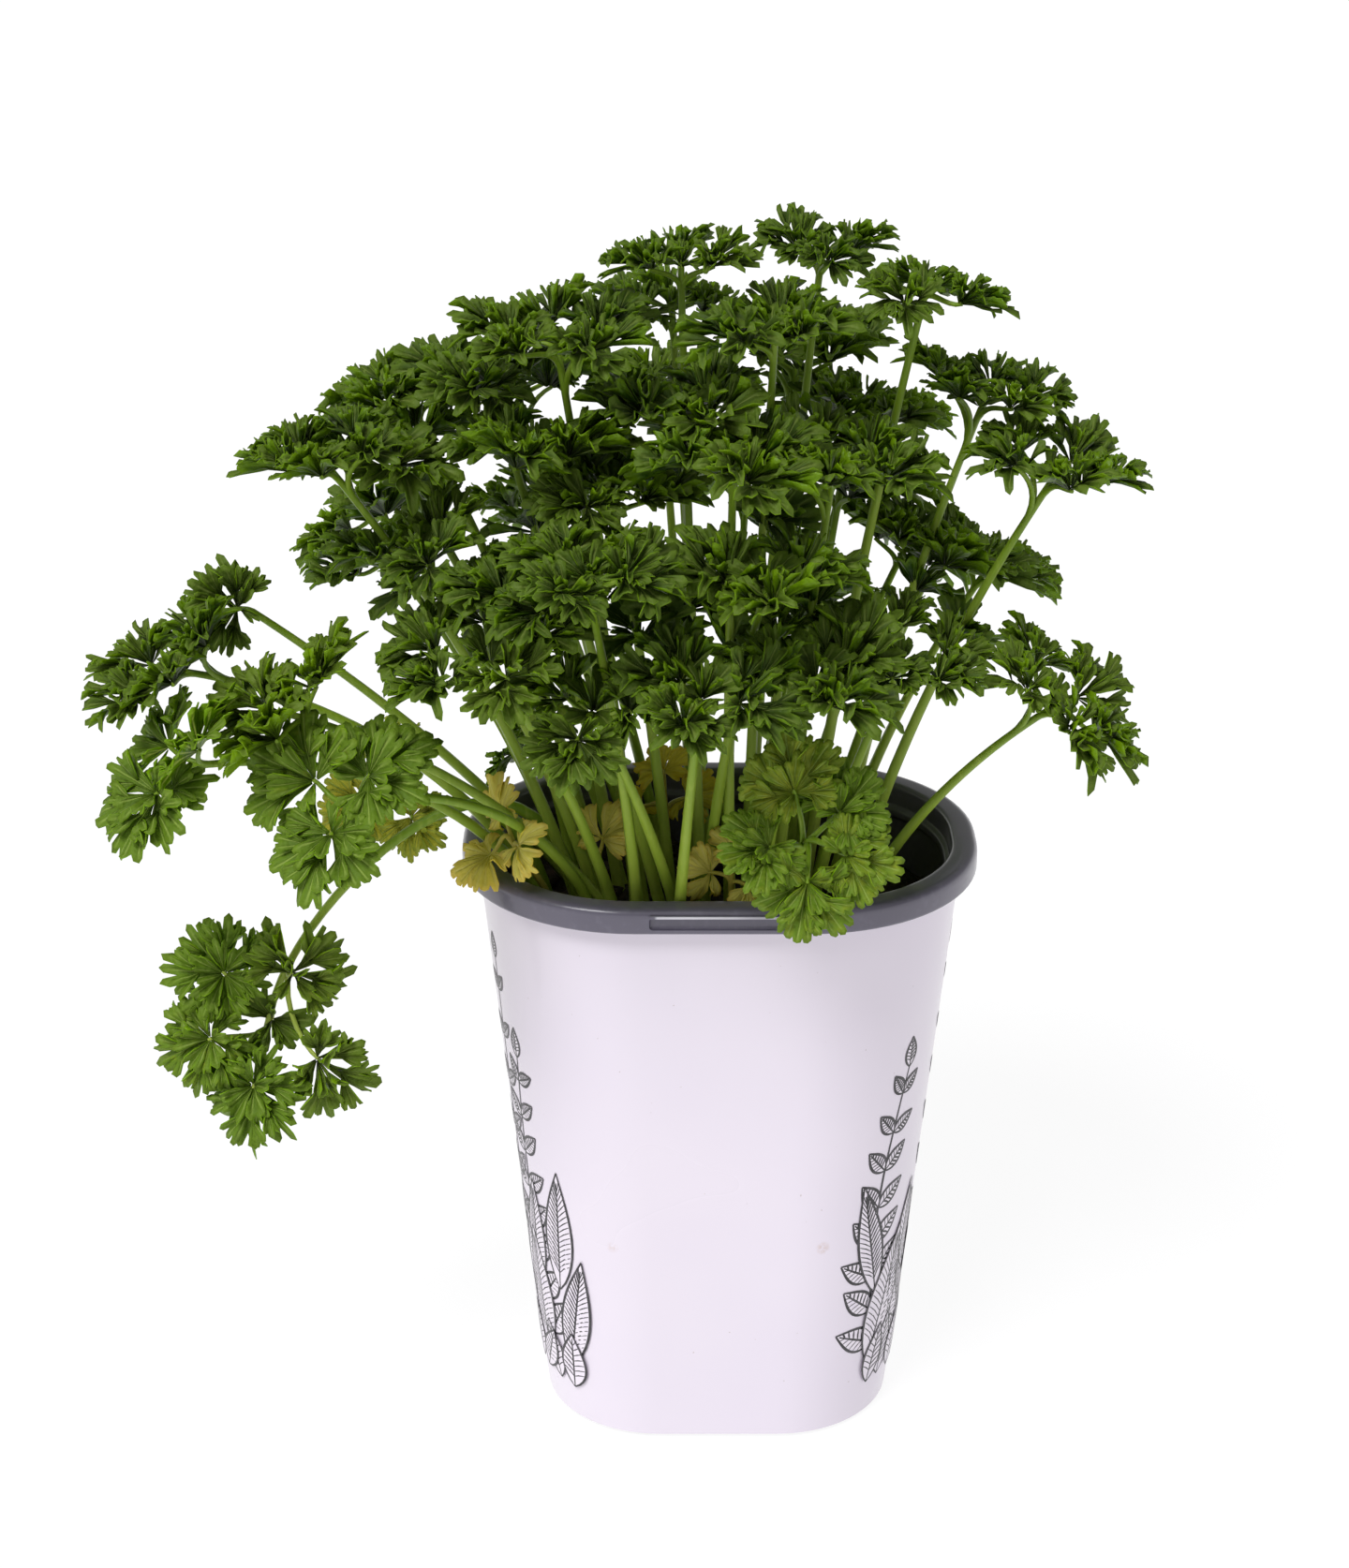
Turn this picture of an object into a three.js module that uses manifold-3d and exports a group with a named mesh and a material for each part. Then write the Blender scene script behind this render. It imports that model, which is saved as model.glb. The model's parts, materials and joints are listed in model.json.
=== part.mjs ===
// Potted curly parsley: an oval plastic pot in a thin sleeve, peat, and a tuft of fronds.
// Millimetres, +Z up. The origin is the middle of the pot's flat underside.
// The pot's long side lies along X, and the front of the plant faces -Y.

import * as THREE from 'three';
import { mergeVertices } from 'three/addons/utils/BufferGeometryUtils.js';
import Module from 'manifold-3d';

const wasm = await Module();
wasm.setup();
const { Manifold, Mesh: ManifoldMesh } = wasm;

// Driving dimensions

const POT = {
  height: 157,
  rimUnderside: 150.5,
  footHalf: [45.3, 38, 30], // half width, half depth and corner radius at the foot
  bodyHalf: [60.8, 42.8, 39.8], // the same where the rim's underside is
  wallInset: 0.9, // outer wall, inside the sleeve's outer face
  innerInset: 2.4,
  footChamfer: 1.3,
  rimOverhang: 4.2,
  rimChamfer: 0.8,
  crown: [[-1.8, 4.2], [-0.5, 3.5], [0, 2], [0, -1.2], [-0.6, -2.4]], // heights over the top, and offsets
  bead: [[0.6, -2.4], [0, -3.9], [-1.6, -3.9], [-3, -2.4]], // heights over the rim's underside, and offsets
  floor: 1.6,
  segmentsPerCorner: 8,
};
const RECESS = { length: 35, height: 3.4, depth: 0.8, z: 153.7 };
const DRAIN = { radius: 3.5, drill: 10, sides: 8, places: [[-22, 14], [22, 14], [-22, -14], [22, -14]] };
const SLEEVE = { bottom: 1.2, top: 150.2, thickness: 0.6 };
const SOIL = {
  top: 135,
  gap: 0.3,
  moundHeight: 3,
  roughness: 0.9,
  waves: { x: 0.41, shiftX: 1.3, y: 0.53 }, // radians per millimetre, and radians
  moundBox: [140, 100, 150],
  moundCells: [9, 6, 1],
  blockTop: 142, // well over the mound
};
const ROOT = {
  depth: 12,
  spacing: 6.8,
  leastApart: 0.01, // so that two roots in one place can still be pushed apart
  pushRounds: 120,
  spread: 0.75, // share of the way out to the head, less for a far head
  easeOff: 80,
  halfX: 46,
  halfY: 27,
  holeGap: 0.9,
  holeSides: 5,
  holeRise: 16, // of a hole's cutter, over the peat
};
const PETIOLE = {
  footRadius: 1.75,
  tipRadius: 1.1,
  sides: 5,
  stepLength: 30,
  leastSteps: 3,
  leaveShare: 0.5, // of the chord's slant, taken off where the petiole starts
  arriveShare: 0.45, // and added where it ends
  arriveReach: 0.32,
};
const LEAFLET = {
  thickness: 0.8,
  stalkWidth: 1.8,
  leastWebSine: 0.45,
  ruffle: 1.7,
  ruffleWaves: 3.5,
  // What each leaflet draws: degrees, shares of the row's stalk and fan, slopes, and millimetres
  around: [-4, 4],
  stalkShare: [0.88, 1.12],
  fanShare: [0.92, 1.08],
  lift: [-0.5, 0.4],
  roll: [-0.35, 0.35],
  cup: [-2, 1],
};
const TILT = { rate: 0.008, most: 80 }; // a head tilts by the square of its angle off the dome's axis
const CLEARANCE = 0.35; // least gap that a frond keeps to all that stands near it
const GAP_ROUNDING = 0.003;
const DOME_CENTRE = new THREE.Vector3(-10, 0, 165); // the middle that the fronds' faces point away from
const UP = new THREE.Vector3(0, 0, 1);

const FINISH = {
  pot: { color: 0x4f4d57, roughness: 0.45 },
  sleeve: { color: 0xede5f0, roughness: 0.3 },
  soil: { color: 0x1c1712, roughness: 0.95 },
  frond: { color: 0x4b6012, roughness: 0.6 },
  oldLeaf: { color: 0x99912f, roughness: 0.6 },
};

const radians = THREE.MathUtils.degToRad;
const degrees = THREE.MathUtils.radToDeg;

// Solids from geometry, and back

function toSolid(geometry) {
  const bare = geometry.clone();
  bare.deleteAttribute('normal');
  bare.deleteAttribute('uv');
  const merged = mergeVertices(bare, 1e-3);
  return new Manifold(new ManifoldMesh({
    numProp: 3,
    vertProperties: new Float32Array(merged.attributes.position.array),
    triVerts: new Uint32Array(merged.index.array),
  }));
}

function toGeometry(solid) {
  const { vertProperties, triVerts } = solid.getMesh();
  const geometry = new THREE.BufferGeometry();
  geometry.setAttribute('position', new THREE.BufferAttribute(vertProperties, 3));
  geometry.setIndex(new THREE.BufferAttribute(triVerts, 1));
  return geometry;
}

function largestPiece(solid) {
  return solid.decompose().reduce((best, piece) => (piece.volume() > best.volume() ? piece : best));
}

// A small seeded generator, so that every build draws the same numbers

function mulberry32(seed) {
  let state = seed >>> 0;
  return () => {
    state = (state + 0x6d2b79f5) >>> 0;
    let t = state;
    t = Math.imul(t ^ (t >>> 15), t | 1);
    t ^= t + Math.imul(t ^ (t >>> 7), t | 61);
    return ((t ^ (t >>> 14)) >>> 0) / 4294967296;
  };
}

// Rounded-rectangle plans and lofts of them

function plan([halfX, halfY, corner], grow = 0) {
  const points = [];
  const radius = corner + grow;
  const quarter = Math.PI / 2;
  for (let side = 0; side < 4; side += 1) {
    const centreX = (halfX - corner) * (side === 0 || side === 3 ? 1 : -1);
    const centreY = (halfY - corner) * (side < 2 ? 1 : -1);
    for (let i = 0; i <= POT.segmentsPerCorner; i += 1) {
      const angle = quarter * (side + i / POT.segmentsPerCorner);
      points.push([centreX + radius * Math.cos(angle), centreY + radius * Math.sin(angle)]);
    }
  }
  return points;
}

function bodyPlan(z, grow) {
  const t = z / POT.rimUnderside;
  return plan(POT.footHalf.map((low, i) => low + (POT.bodyHalf[i] - low) * t), grow);
}

// Skins a list of loops, each with as many [x, y, z] points; open lofts get flat end caps
function loft(loops, closed = false) {
  const count = loops[0].length;
  const index = [];
  const bands = closed ? loops.length : loops.length - 1;
  for (let band = 0; band < bands; band += 1) {
    const low = band * count;
    const high = ((band + 1) % loops.length) * count;
    for (let i = 0; i < count; i += 1) {
      const next = (i + 1) % count;
      index.push(low + i, low + next, high + next, low + i, high + next, high + i);
    }
  }
  if (!closed) {
    const last = (loops.length - 1) * count;
    for (let i = 1; i < count - 1; i += 1) {
      index.push(0, i + 1, i, last, last + i, last + i + 1);
    }
  }
  const geometry = new THREE.BufferGeometry();
  geometry.setAttribute('position', new THREE.Float32BufferAttribute(loops.flat(2), 3));
  geometry.setIndex(index);
  return geometry;
}

const loop = (z, grow) => bodyPlan(Math.min(z, POT.rimUnderside), grow).map(([x, y]) => [x, y, z]);

// Pot

function potSolid() {
  const under = POT.rimUnderside;
  const out = POT.rimOverhang;
  const profile = [
    [0, -POT.wallInset - POT.footChamfer],
    [POT.footChamfer, -POT.wallInset],
    [under, -POT.wallInset],
    [under, out - POT.rimChamfer],
    [under + POT.rimChamfer, out],
    ...POT.crown.map(([z, grow]) => [POT.height + z, grow]),
    ...POT.bead.map(([z, grow]) => [under + z, grow]),
    [POT.floor, -POT.innerInset],
  ];
  let solid = toSolid(loft(profile.map(([z, grow]) => loop(z, grow))));
  for (const [x, y] of DRAIN.places) {
    const drill = new THREE.CylinderGeometry(DRAIN.radius, DRAIN.radius, DRAIN.drill, DRAIN.sides);
    drill.rotateX(Math.PI / 2).translate(x, y, 0);
    solid = solid.subtract(toSolid(drill));
  }
  const front = -(POT.bodyHalf[1] + out);
  const slot = new THREE.BoxGeometry(RECESS.length, RECESS.depth * 2, RECESS.height);
  slot.translate(0, front, RECESS.z);
  return solid.subtract(toSolid(slot));
}

function sleeveSolid() {
  const { bottom, top, thickness } = SLEEVE;
  const faces = [loop(bottom, 0), loop(top, 0), loop(top, -thickness), loop(bottom, -thickness)];
  return toSolid(loft(faces, true));
}

// Peat: a block that fills the pot, cut by a coarse rough mound

function soilHeight(x, y) {
  const outward = Math.hypot(x / POT.bodyHalf[0], y / POT.bodyHalf[1]);
  const rough = Math.sin(x * SOIL.waves.x + SOIL.waves.shiftX) * Math.cos(y * SOIL.waves.y);
  return SOIL.top + SOIL.moundHeight * Math.max(0, 1 - outward * outward) + SOIL.roughness * rough;
}

function soilSolid() {
  const inset = -(POT.innerInset + SOIL.gap);
  const block = toSolid(loft([loop(POT.floor + SOIL.gap, inset), loop(SOIL.blockTop, inset)]));
  const mound = new THREE.BoxGeometry(...SOIL.moundBox, ...SOIL.moundCells);
  const middle = SOIL.top - SOIL.moundBox[2] / 2;
  mound.translate(0, 0, middle);
  const position = mound.attributes.position;
  for (let i = 0; i < position.count; i += 1) {
    if (position.getZ(i) > middle) {
      position.setZ(i, soilHeight(position.getX(i), position.getY(i)));
    }
  }
  return block.intersect(toSolid(mound));
}

// Petioles

function levelDirection(azimuth) {
  return new THREE.Vector3(Math.cos(radians(azimuth)), Math.sin(radians(azimuth)), 0);
}

function outwardOf(point) {
  return new THREE.Vector3(point.x - DOME_CENTRE.x, point.y - DOME_CENTRE.y, 0).normalize();
}

// Turns a direction away from straight up, towards the given level direction
function nod(direction, outward, angle) {
  const axis = new THREE.Vector3().crossVectors(UP, outward).normalize();
  return direction.clone().applyAxisAngle(axis, radians(angle));
}

// A petiole leaves the peat steeper than the straight line to its head, and arrives flatter
function petiolePath(root, head, outward, bend, climb) {
  const chord = head.clone().sub(root);
  const length = chord.length();
  chord.normalize();
  const slant = degrees(chord.angleTo(UP));
  const leave = nod(chord, outward, -PETIOLE.leaveShare * slant * bend);
  const arrive = nod(chord, outward, PETIOLE.arriveShare * slant * bend);
  return new THREE.CubicBezierCurve3(
    root,
    root.clone().addScaledVector(leave, length * climb),
    head.clone().addScaledVector(arrive, -length * PETIOLE.arriveReach),
    head,
  );
}

function petioleSteps(path) {
  return Math.max(PETIOLE.leastSteps, Math.round(path.getLength() / PETIOLE.stepLength));
}

function petioleSolid(path, { foot, tip }) {
  const steps = petioleSteps(path);
  const section = new THREE.Shape();
  for (let i = 0; i < PETIOLE.sides; i += 1) {
    const angle = (2 * Math.PI * i) / PETIOLE.sides;
    section[i === 0 ? 'moveTo' : 'lineTo'](Math.cos(angle), Math.sin(angle));
  }
  const geometry = new THREE.ExtrudeGeometry(section, { steps, extrudePath: path, bevelEnabled: false });
  const centres = path.getSpacedPoints(steps);
  const position = geometry.attributes.position;
  const vertex = new THREE.Vector3();
  for (let i = 0; i < position.count; i += 1) {
    vertex.fromBufferAttribute(position, i);
    const ring = nearestIndex(centres, vertex);
    const radius = foot + (tip - foot) * (ring / steps);
    vertex.sub(centres[ring]).multiplyScalar(radius).add(centres[ring]);
    position.setXYZ(i, vertex.x, vertex.y, vertex.z);
  }
  return toSolid(geometry);
}

function nearestIndex(points, target) {
  let best = 0;
  points.forEach((point, i) => {
    if (point.distanceToSquared(target) < points[best].distanceToSquared(target)) best = i;
  });
  return best;
}

// The head of a frond: its leaflets, on their stalks, are cut in one thin sheet, which is then
// raised, rolled and ruffled alike on both faces. The sheet's own axes: X ahead, Z its upper face.

const SPREADS = {
  1: [0],
  3: [-112, 0, 112],
  5: [-136, -68, 0, 68, 136],
};
const LOBE_ANGLES = [-104, -54, 0, 54, 104];
const LOBE_REACHES = [0.72, 0.96, 1.1, 0.96, 0.72];
const NOTCH_REACH = 0.62;
const FAN_MIDDLE = 0.42; // of the fan's radius, from the stalk's end to the middle of its lobes

function drawLeaflet(row, around, draw) {
  const between = ([low, high]) => low + (high - low) * draw();
  return {
    around: radians(around + between(LEAFLET.around)),
    stalk: row.stalk * between(LEAFLET.stalkShare),
    fan: row.fan * between(LEAFLET.fanShare),
    lift: between(LEAFLET.lift),
    roll: between(LEAFLET.roll),
    cup: between(LEAFLET.cup),
    phase: draw() < 0.5 ? 0 : Math.PI,
  };
}

// Outline of one leaflet, along its own X, from one side of its stalk round to the other
function leafletOutline({ stalk, fan }) {
  const half = LEAFLET.stalkWidth / 2;
  const middle = stalk + fan * FAN_MIDDLE;
  const polar = (angle, reach) => [
    middle + fan * reach * Math.cos(radians(angle)),
    fan * reach * Math.sin(radians(angle)),
  ];
  const points = [[stalk, -half]];
  LOBE_ANGLES.forEach((angle, i) => {
    points.push(polar(angle, LOBE_REACHES[i]));
    if (i < LOBE_ANGLES.length - 1) {
      points.push(polar((angle + LOBE_ANGLES[i + 1]) / 2, NOTCH_REACH));
    }
  });
  points.push([stalk, half]);
  return points;
}

// Height of the sheet over its flat outline, at a point in a leaflet's own axes
function leafletHeight({ stalk, fan, lift, roll, cup, phase }, rise, x, y) {
  const dx = x - stalk - fan * FAN_MIDDLE;
  const out = Math.hypot(dx, y) / fan;
  const ruffle = LEAFLET.ruffle * Math.cos(LEAFLET.ruffleWaves * Math.atan2(y, dx) + phase);
  return rise + lift * (x - stalk) + roll * y + out * out * (ruffle + cup);
}

function headSheet(leaflets, rise) {
  const outline = [];
  const heights = [];
  leaflets.forEach((leaflet, i) => {
    const before = leaflets[(i + leaflets.length - 1) % leaflets.length];
    const cos = Math.cos(leaflet.around);
    const sin = Math.sin(leaflet.around);
    const turned = (leaflet.around - before.around + 2 * Math.PI) % (2 * Math.PI);
    const gap = leaflets.length === 1 ? 2 * Math.PI : turned;
    const corner = leaflet.around - gap / 2;
    const web = LEAFLET.stalkWidth / (2 * Math.max(LEAFLET.leastWebSine, Math.sin(gap / 2)));
    outline.push(new THREE.Vector2(web * Math.cos(corner), web * Math.sin(corner)));
    heights.push(0);
    for (const [x, y] of leafletOutline(leaflet)) {
      outline.push(new THREE.Vector2(x * cos - y * sin, x * sin + y * cos));
      heights.push(leafletHeight(leaflet, rise, x, y));
    }
  });
  const geometry = new THREE.ExtrudeGeometry(new THREE.Shape(outline), {
    depth: LEAFLET.thickness, steps: 1, bevelEnabled: false,
  });
  const position = geometry.attributes.position;
  for (let i = 0; i < position.count; i += 1) {
    const flat = new THREE.Vector2(position.getX(i), position.getY(i));
    const height = heights[nearestIndex(outline, flat)];
    position.setZ(i, position.getZ(i) - LEAFLET.thickness / 2 + height);
  }
  return toSolid(geometry);
}

// Axes of a head: Z is its upper face, which tilts outwards, and X leads on from the petiole
function headFrame(path, outward, { tilt, facing }, turn) {
  const face = nod(UP, facing === undefined ? outward : levelDirection(facing), tilt);
  const lead = outward.clone().add(path.getTangent(1));
  const ahead = lead.addScaledVector(face, -lead.dot(face)).normalize().applyAxisAngle(face, radians(turn));
  const aside = new THREE.Vector3().crossVectors(face, ahead);
  return new THREE.Matrix4().makeBasis(ahead, aside, face).setPosition(path.getPoint(1));
}

function frondSolid(row, root, swing) {
  const draw = mulberry32(row.seed);
  const head = new THREE.Vector3(...row.head).add(swing.shift);
  const outward = outwardOf(head);
  const path = petiolePath(root.clone().add(swing.foot), head, outward, row.bend * swing.bend, row.climb);
  const leaflets = SPREADS[row.leaflets].map((around) => drawLeaflet(row, around, draw));
  const frame = headFrame(path, outward, row, row.turn + swing.turn);
  const sheet = headSheet(leaflets, row.rise).transform(frame.toArray());
  const petiole = petioleSolid(path, row);
  return { solid: largestPiece(petiole.add(sheet)), path };
}

// The fronds: the place of each head, taken from the front view, and what differs from the usual frond

const LARGE = { leaflets: 5, fan: 11.5, stalk: 12.5, rise: 7 };
const SMALL = { leaflets: 3, fan: 12.5, stalk: 8.5, rise: 4 };
const SHARED = { turn: 0, bend: 1, climb: 0.36, foot: PETIOLE.footRadius, tip: PETIOLE.tipRadius };

const FRONDS = {
  hanging: {
    head: [-113, -24, 116],
    ...LARGE,
    fan: 12,
    stalk: 15.5,
    root: [-32, -2],
    bend: 1.9,
    climb: 1.15,
    facing: -100,
    tilt: 75,
    turn: -30,
  },
  far_left_1: {
    head: [-113, -16, 222],
    ...SMALL,
    leaflets: 1,
    fan: 10.5,
    stalk: 4,
    root: [-30, 16],
    bend: 0.45,
    facing: -90,
    tilt: 60,
  },
  far_left_2: { head: [-130, -24, 212], ...LARGE, fan: 10.5, root: [-36, -2], bend: 1.2 },
  far_left_3: { head: [-125, -46, 194], ...SMALL, root: [-34, -14], bend: 1.5, climb: 0.42 },
  far_left_4: { head: [-102, -46, 206], ...SMALL, root: [-20, -20], bend: 1.3, turn: -35 },
  far_left_5: {
    head: [-87, -50, 186],
    ...SMALL,
    root: [-28, -22],
    bend: 1.5,
    climb: 0.45,
    facing: -110,
    turn: -30,
  },
  rim_left: { head: [-76, -2, 168], ...SMALL, fan: 9, root: [-42, 4], bend: 1.4, climb: 0.8, facing: -120 },
  low_left: { head: [-46, 21, 172], ...SMALL, fan: 8, stalk: 7, root: [-37, 18] },
  over_rim: {
    head: [20, -57, 180],
    ...LARGE,
    fan: 10,
    stalk: 10,
    root: [18, -16],
    bend: 1.3,
    climb: 0.5,
    facing: -90,
    tilt: 60,
  },
  far_right: { head: [79, -20, 198], ...LARGE, fan: 10.5, bend: 1.2 },
  low_front_1: { head: [-54, -52, 222], ...LARGE },
  low_front_2: { head: [-30, -58, 212], ...SMALL },
  low_front_3: { head: [-5, -64, 217], ...SMALL, root: [-14, -25] },
  low_front_4: { head: [20, -52, 214], ...SMALL },
  centre_1: { head: [-26, -16, 250], ...SMALL },
  centre_2: { head: [2, -38, 264], ...SMALL },
  centre_3: { head: [-40, -46, 238], ...LARGE },
  centre_4: { head: [8, -50, 236], ...SMALL, root: [-3, -16] },
  centre_5: { head: [-22, -62, 246], ...SMALL, fan: 11, root: [-20, -25] },
  centre_6: { head: [24, -24, 262], ...LARGE },
  left_1: { head: [-91, -26, 260], ...LARGE, fan: 9.5, stalk: 10.5 },
  left_2: { head: [-78, 26, 260], ...SMALL },
  left_3: { head: [-80, -4, 255], ...SMALL },
  left_4: { head: [-44, -22, 262], ...SMALL },
  left_5: { head: [-68, -22, 238], ...SMALL, fan: 11, root: [-30, -14] },
  left_6: { head: [-81, 12, 224], ...SMALL },
  left_7: { head: [-55, 34, 208], ...SMALL, fan: 9, stalk: 7.5 },
  right_1: { head: [63, 10, 265], ...LARGE, fan: 9.5, stalk: 10.5 },
  right_2: { head: [78, -10, 252], ...LARGE, fan: 10.5, stalk: 11 },
  right_3: { head: [30, 22, 240], ...SMALL },
  right_4: { head: [53, 20, 220], ...LARGE },
  right_5: { head: [22, -18, 218], ...SMALL, fan: 10 },
  right_6: { head: [42, -34, 214], ...LARGE, fan: 9.5, stalk: 10.5 },
  upper_left_1: { head: [-38, -8, 282], ...LARGE },
  upper_left_2: { head: [-8, -22, 274], ...SMALL },
  upper_left_3: { head: [-58, 14, 268], ...SMALL },
  top_1: { head: [-4, 5, 301], ...SMALL, fan: 9.5, stalk: 8 },
  top_2: { head: [24, 18, 300], ...SMALL, fan: 9.5, stalk: 7.5 },
  top_3: { head: [12, -12, 288], ...SMALL },
  top_4: { head: [44, 2, 289], ...SMALL, fan: 10, stalk: 8 },
  top_5: { head: [-12, 28, 284], ...SMALL, fan: 10, root: [-3, 21] },
  top_6: { head: [20, 46, 265], ...LARGE },
  back_1: { head: [-52, 52, 254], ...LARGE },
  back_2: { head: [-16, 60, 256], ...LARGE },
  back_3: { head: [35, 52, 247], ...LARGE },
  back_4: { head: [-86, 56, 222], ...SMALL },
  back_5: { head: [-42, 76, 216], ...LARGE },
  back_6: { head: [8, 80, 222], ...LARGE },
  back_7: { head: [50, 70, 208], ...SMALL },
  back_8: { head: [-50, 64, 188], ...SMALL, fan: 10, stalk: 7, bend: 1.3 },
  back_9: { head: [24, 76, 184], ...SMALL, bend: 1.4, climb: 0.45 },
  back_10: { head: [66, 38, 217], ...SMALL },
};

const OLD_LEAVES = {
  rim_left: { head: [-52, -28, 168], root: [-36, -16] },
  front: { head: [3, -33, 161], root: [4, -23], fan: 6.5, stalk: 5, facing: -90, tilt: 60 },
  inner_left: { head: [-30, -20, 158], root: [-22, -10], leaflets: 1 },
  middle: { head: [-14, 12, 162], root: [-12, 18] },
};
const OLD_LEAF = { leaflets: 3, fan: 7.5, stalk: 6.5, rise: 1.5, foot: 1.2, tip: 0.9 };

function rowsOf(table, defaults, prefix, firstSeed) {
  return Object.entries(table).map(([name, row], i) => {
    const filled = { ...defaults, ...row, name: `${prefix}_${name}`, seed: firstSeed + i };
    const fromDome = new THREE.Vector3(...filled.head).sub(DOME_CENTRE);
    filled.tilt = row.tilt ?? Math.min(TILT.most, TILT.rate * degrees(fromDome.angleTo(UP)) ** 2);
    return filled;
  });
}

// Roots: each starts part of the way out towards its head, then they push apart

function spreadRoots(rows) {
  const roots = rows.map(({ head, root }) => {
    if (root) return new THREE.Vector2(...root);
    const level = new THREE.Vector2(head[0], head[1]);
    return level.multiplyScalar(ROOT.spread / (1 + level.length() / ROOT.easeOff));
  });
  for (let round = 0; round < ROOT.pushRounds; round += 1) {
    for (let i = 0; i < roots.length; i += 1) {
      for (let j = i + 1; j < roots.length; j += 1) {
        const apart = roots[j].clone().sub(roots[i]);
        const distance = Math.max(apart.length(), ROOT.leastApart);
        if (distance < ROOT.spacing) {
          apart.multiplyScalar((ROOT.spacing - distance) / (2 * distance));
          roots[i].sub(apart);
          roots[j].add(apart);
        }
      }
      const reach = Math.hypot(roots[i].x / ROOT.halfX, roots[i].y / ROOT.halfY);
      if (reach > 1) roots[i].divideScalar(reach);
    }
  }
  return roots.map(({ x, y }) => new THREE.Vector3(x, y, SOIL.top - ROOT.depth));
}

// Swings: growing steps away from the listed place, tried in order until the frond stands clear

const SWING = {
  tries: 170,
  step: 1.1, // of the head's shift, times the root of the try's number
  easeTries: 12, // until the foot and the bend swing in full
  goldenAngle: Math.PI * (3 - Math.sqrt(5)),
  goldenShare: 0.618034,
  foot: 2.6,
  footRate: 0.9, // this and the next two: radians from one try to the next
  turn: 34,
  turnRate: 2.4,
  bend: 0.35,
  bendRate: 1.1,
};

function swingOf(step) {
  const height = 1 - 2 * ((step * SWING.goldenShare) % 1);
  const level = Math.sqrt(1 - height * height);
  const around = step * SWING.goldenAngle;
  const reach = SWING.step * Math.sqrt(step);
  const ease = Math.min(1, step / SWING.easeTries);
  const footReach = SWING.foot * Math.sin(step * SWING.footRate) * ease;
  const aim = new THREE.Vector3(level * Math.cos(around), level * Math.sin(around), height);
  return {
    shift: aim.multiplyScalar(reach),
    foot: levelDirection(degrees(around)).multiplyScalar(footReach),
    turn: SWING.turn * Math.sin(step * SWING.turnRate),
    bend: 1 + SWING.bend * Math.sin(step * SWING.bendRate) * ease,
  };
}

function boxesMeet(a, b) {
  return [0, 1, 2].every((i) => a.min[i] - CLEARANCE < b.max[i] && b.min[i] - CLEARANCE < a.max[i]);
}

function isClear(solid, placed) {
  const box = solid.boundingBox();
  const keepsAway = (other) => solid.minGap(other.solid, CLEARANCE) > CLEARANCE - GAP_ROUNDING;
  return placed.every((other) => !boxesMeet(box, other.box) || keepsAway(other));
}

function placeFronds(rows, roots, obstacles) {
  const placed = obstacles.map((solid) => ({ solid, box: solid.boundingBox() }));
  return rows.map((row, i) => {
    for (let step = 0; step < SWING.tries; step += 1) {
      const frond = frondSolid(row, roots[i], swingOf(step));
      if (isClear(frond.solid, placed)) {
        placed.push({ solid: frond.solid, box: frond.solid.boundingBox() });
        return { row, ...frond, step };
      }
    }
    console.warn(`${row.name} finds no clear place`);
    return null;
  }).filter((frond) => frond !== null);
}

// A plain hole in the peat for each petiole, along its first straight stretch and a little wider

function stemHole({ row, path }) {
  const [foot, firstRing] = path.getSpacedPoints(petioleSteps(path));
  const aim = firstRing.clone().sub(foot).normalize();
  const length = ROOT.depth + ROOT.holeRise;
  const radius = row.foot + ROOT.holeGap;
  const drill = new THREE.CylinderGeometry(radius, radius, length, ROOT.holeSides);
  drill.rotateX(Math.PI / 2).translate(0, 0, length / 2 - ROOT.holeGap);
  drill.applyQuaternion(new THREE.Quaternion().setFromUnitVectors(UP, aim)).translate(foot.x, foot.y, foot.z);
  return toSolid(drill);
}

// Assembly

function addPiece(group, name, solid, finish) {
  const material = new THREE.MeshStandardMaterial({ ...finish, metalness: 0 });
  const mesh = new THREE.Mesh(toGeometry(solid), material);
  mesh.name = name;
  group.add(mesh);
}

const pot = potSolid();
const sleeve = sleeveSolid();
const frondRows = rowsOf(FRONDS, SHARED, 'frond', 11);
const oldLeafRows = rowsOf(OLD_LEAVES, { ...SHARED, ...OLD_LEAF }, 'old_leaf', 201);
const rows = [...oldLeafRows, ...frondRows];
const fronds = placeFronds(rows, spreadRoots(rows), [pot, sleeve]);
const soil = soilSolid().subtract(Manifold.union(fronds.map(stemHole)));

const group = new THREE.Group();
group.name = 'potted_curly_parsley';
addPiece(group, 'pot', pot, FINISH.pot);
addPiece(group, 'sleeve', sleeve, FINISH.sleeve);
addPiece(group, 'soil', soil, FINISH.soil);
for (const { row, solid } of fronds) {
  addPiece(group, row.name, solid, oldLeafRows.includes(row) ? FINISH.oldLeaf : FINISH.frond);
}

export default group;
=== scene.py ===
"""Potted curly parsley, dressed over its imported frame.

An oval plastic pot in a printed sleeve, dark peat, and a tuft of curly fronds with a few old yellow
leaves low down. Lengths are millimetres until a mesh is written, which is in metres, +Z up, with the
front of the plant facing -Y.
"""

from __future__ import annotations

import json
import logging
import math
import random
from collections.abc import Callable, Iterable, Sequence
from dataclasses import dataclass, field, replace
from enum import Enum

import bmesh
import bpy
import numpy as np
from mathutils import Matrix, Quaternion, Vector, noise

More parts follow.
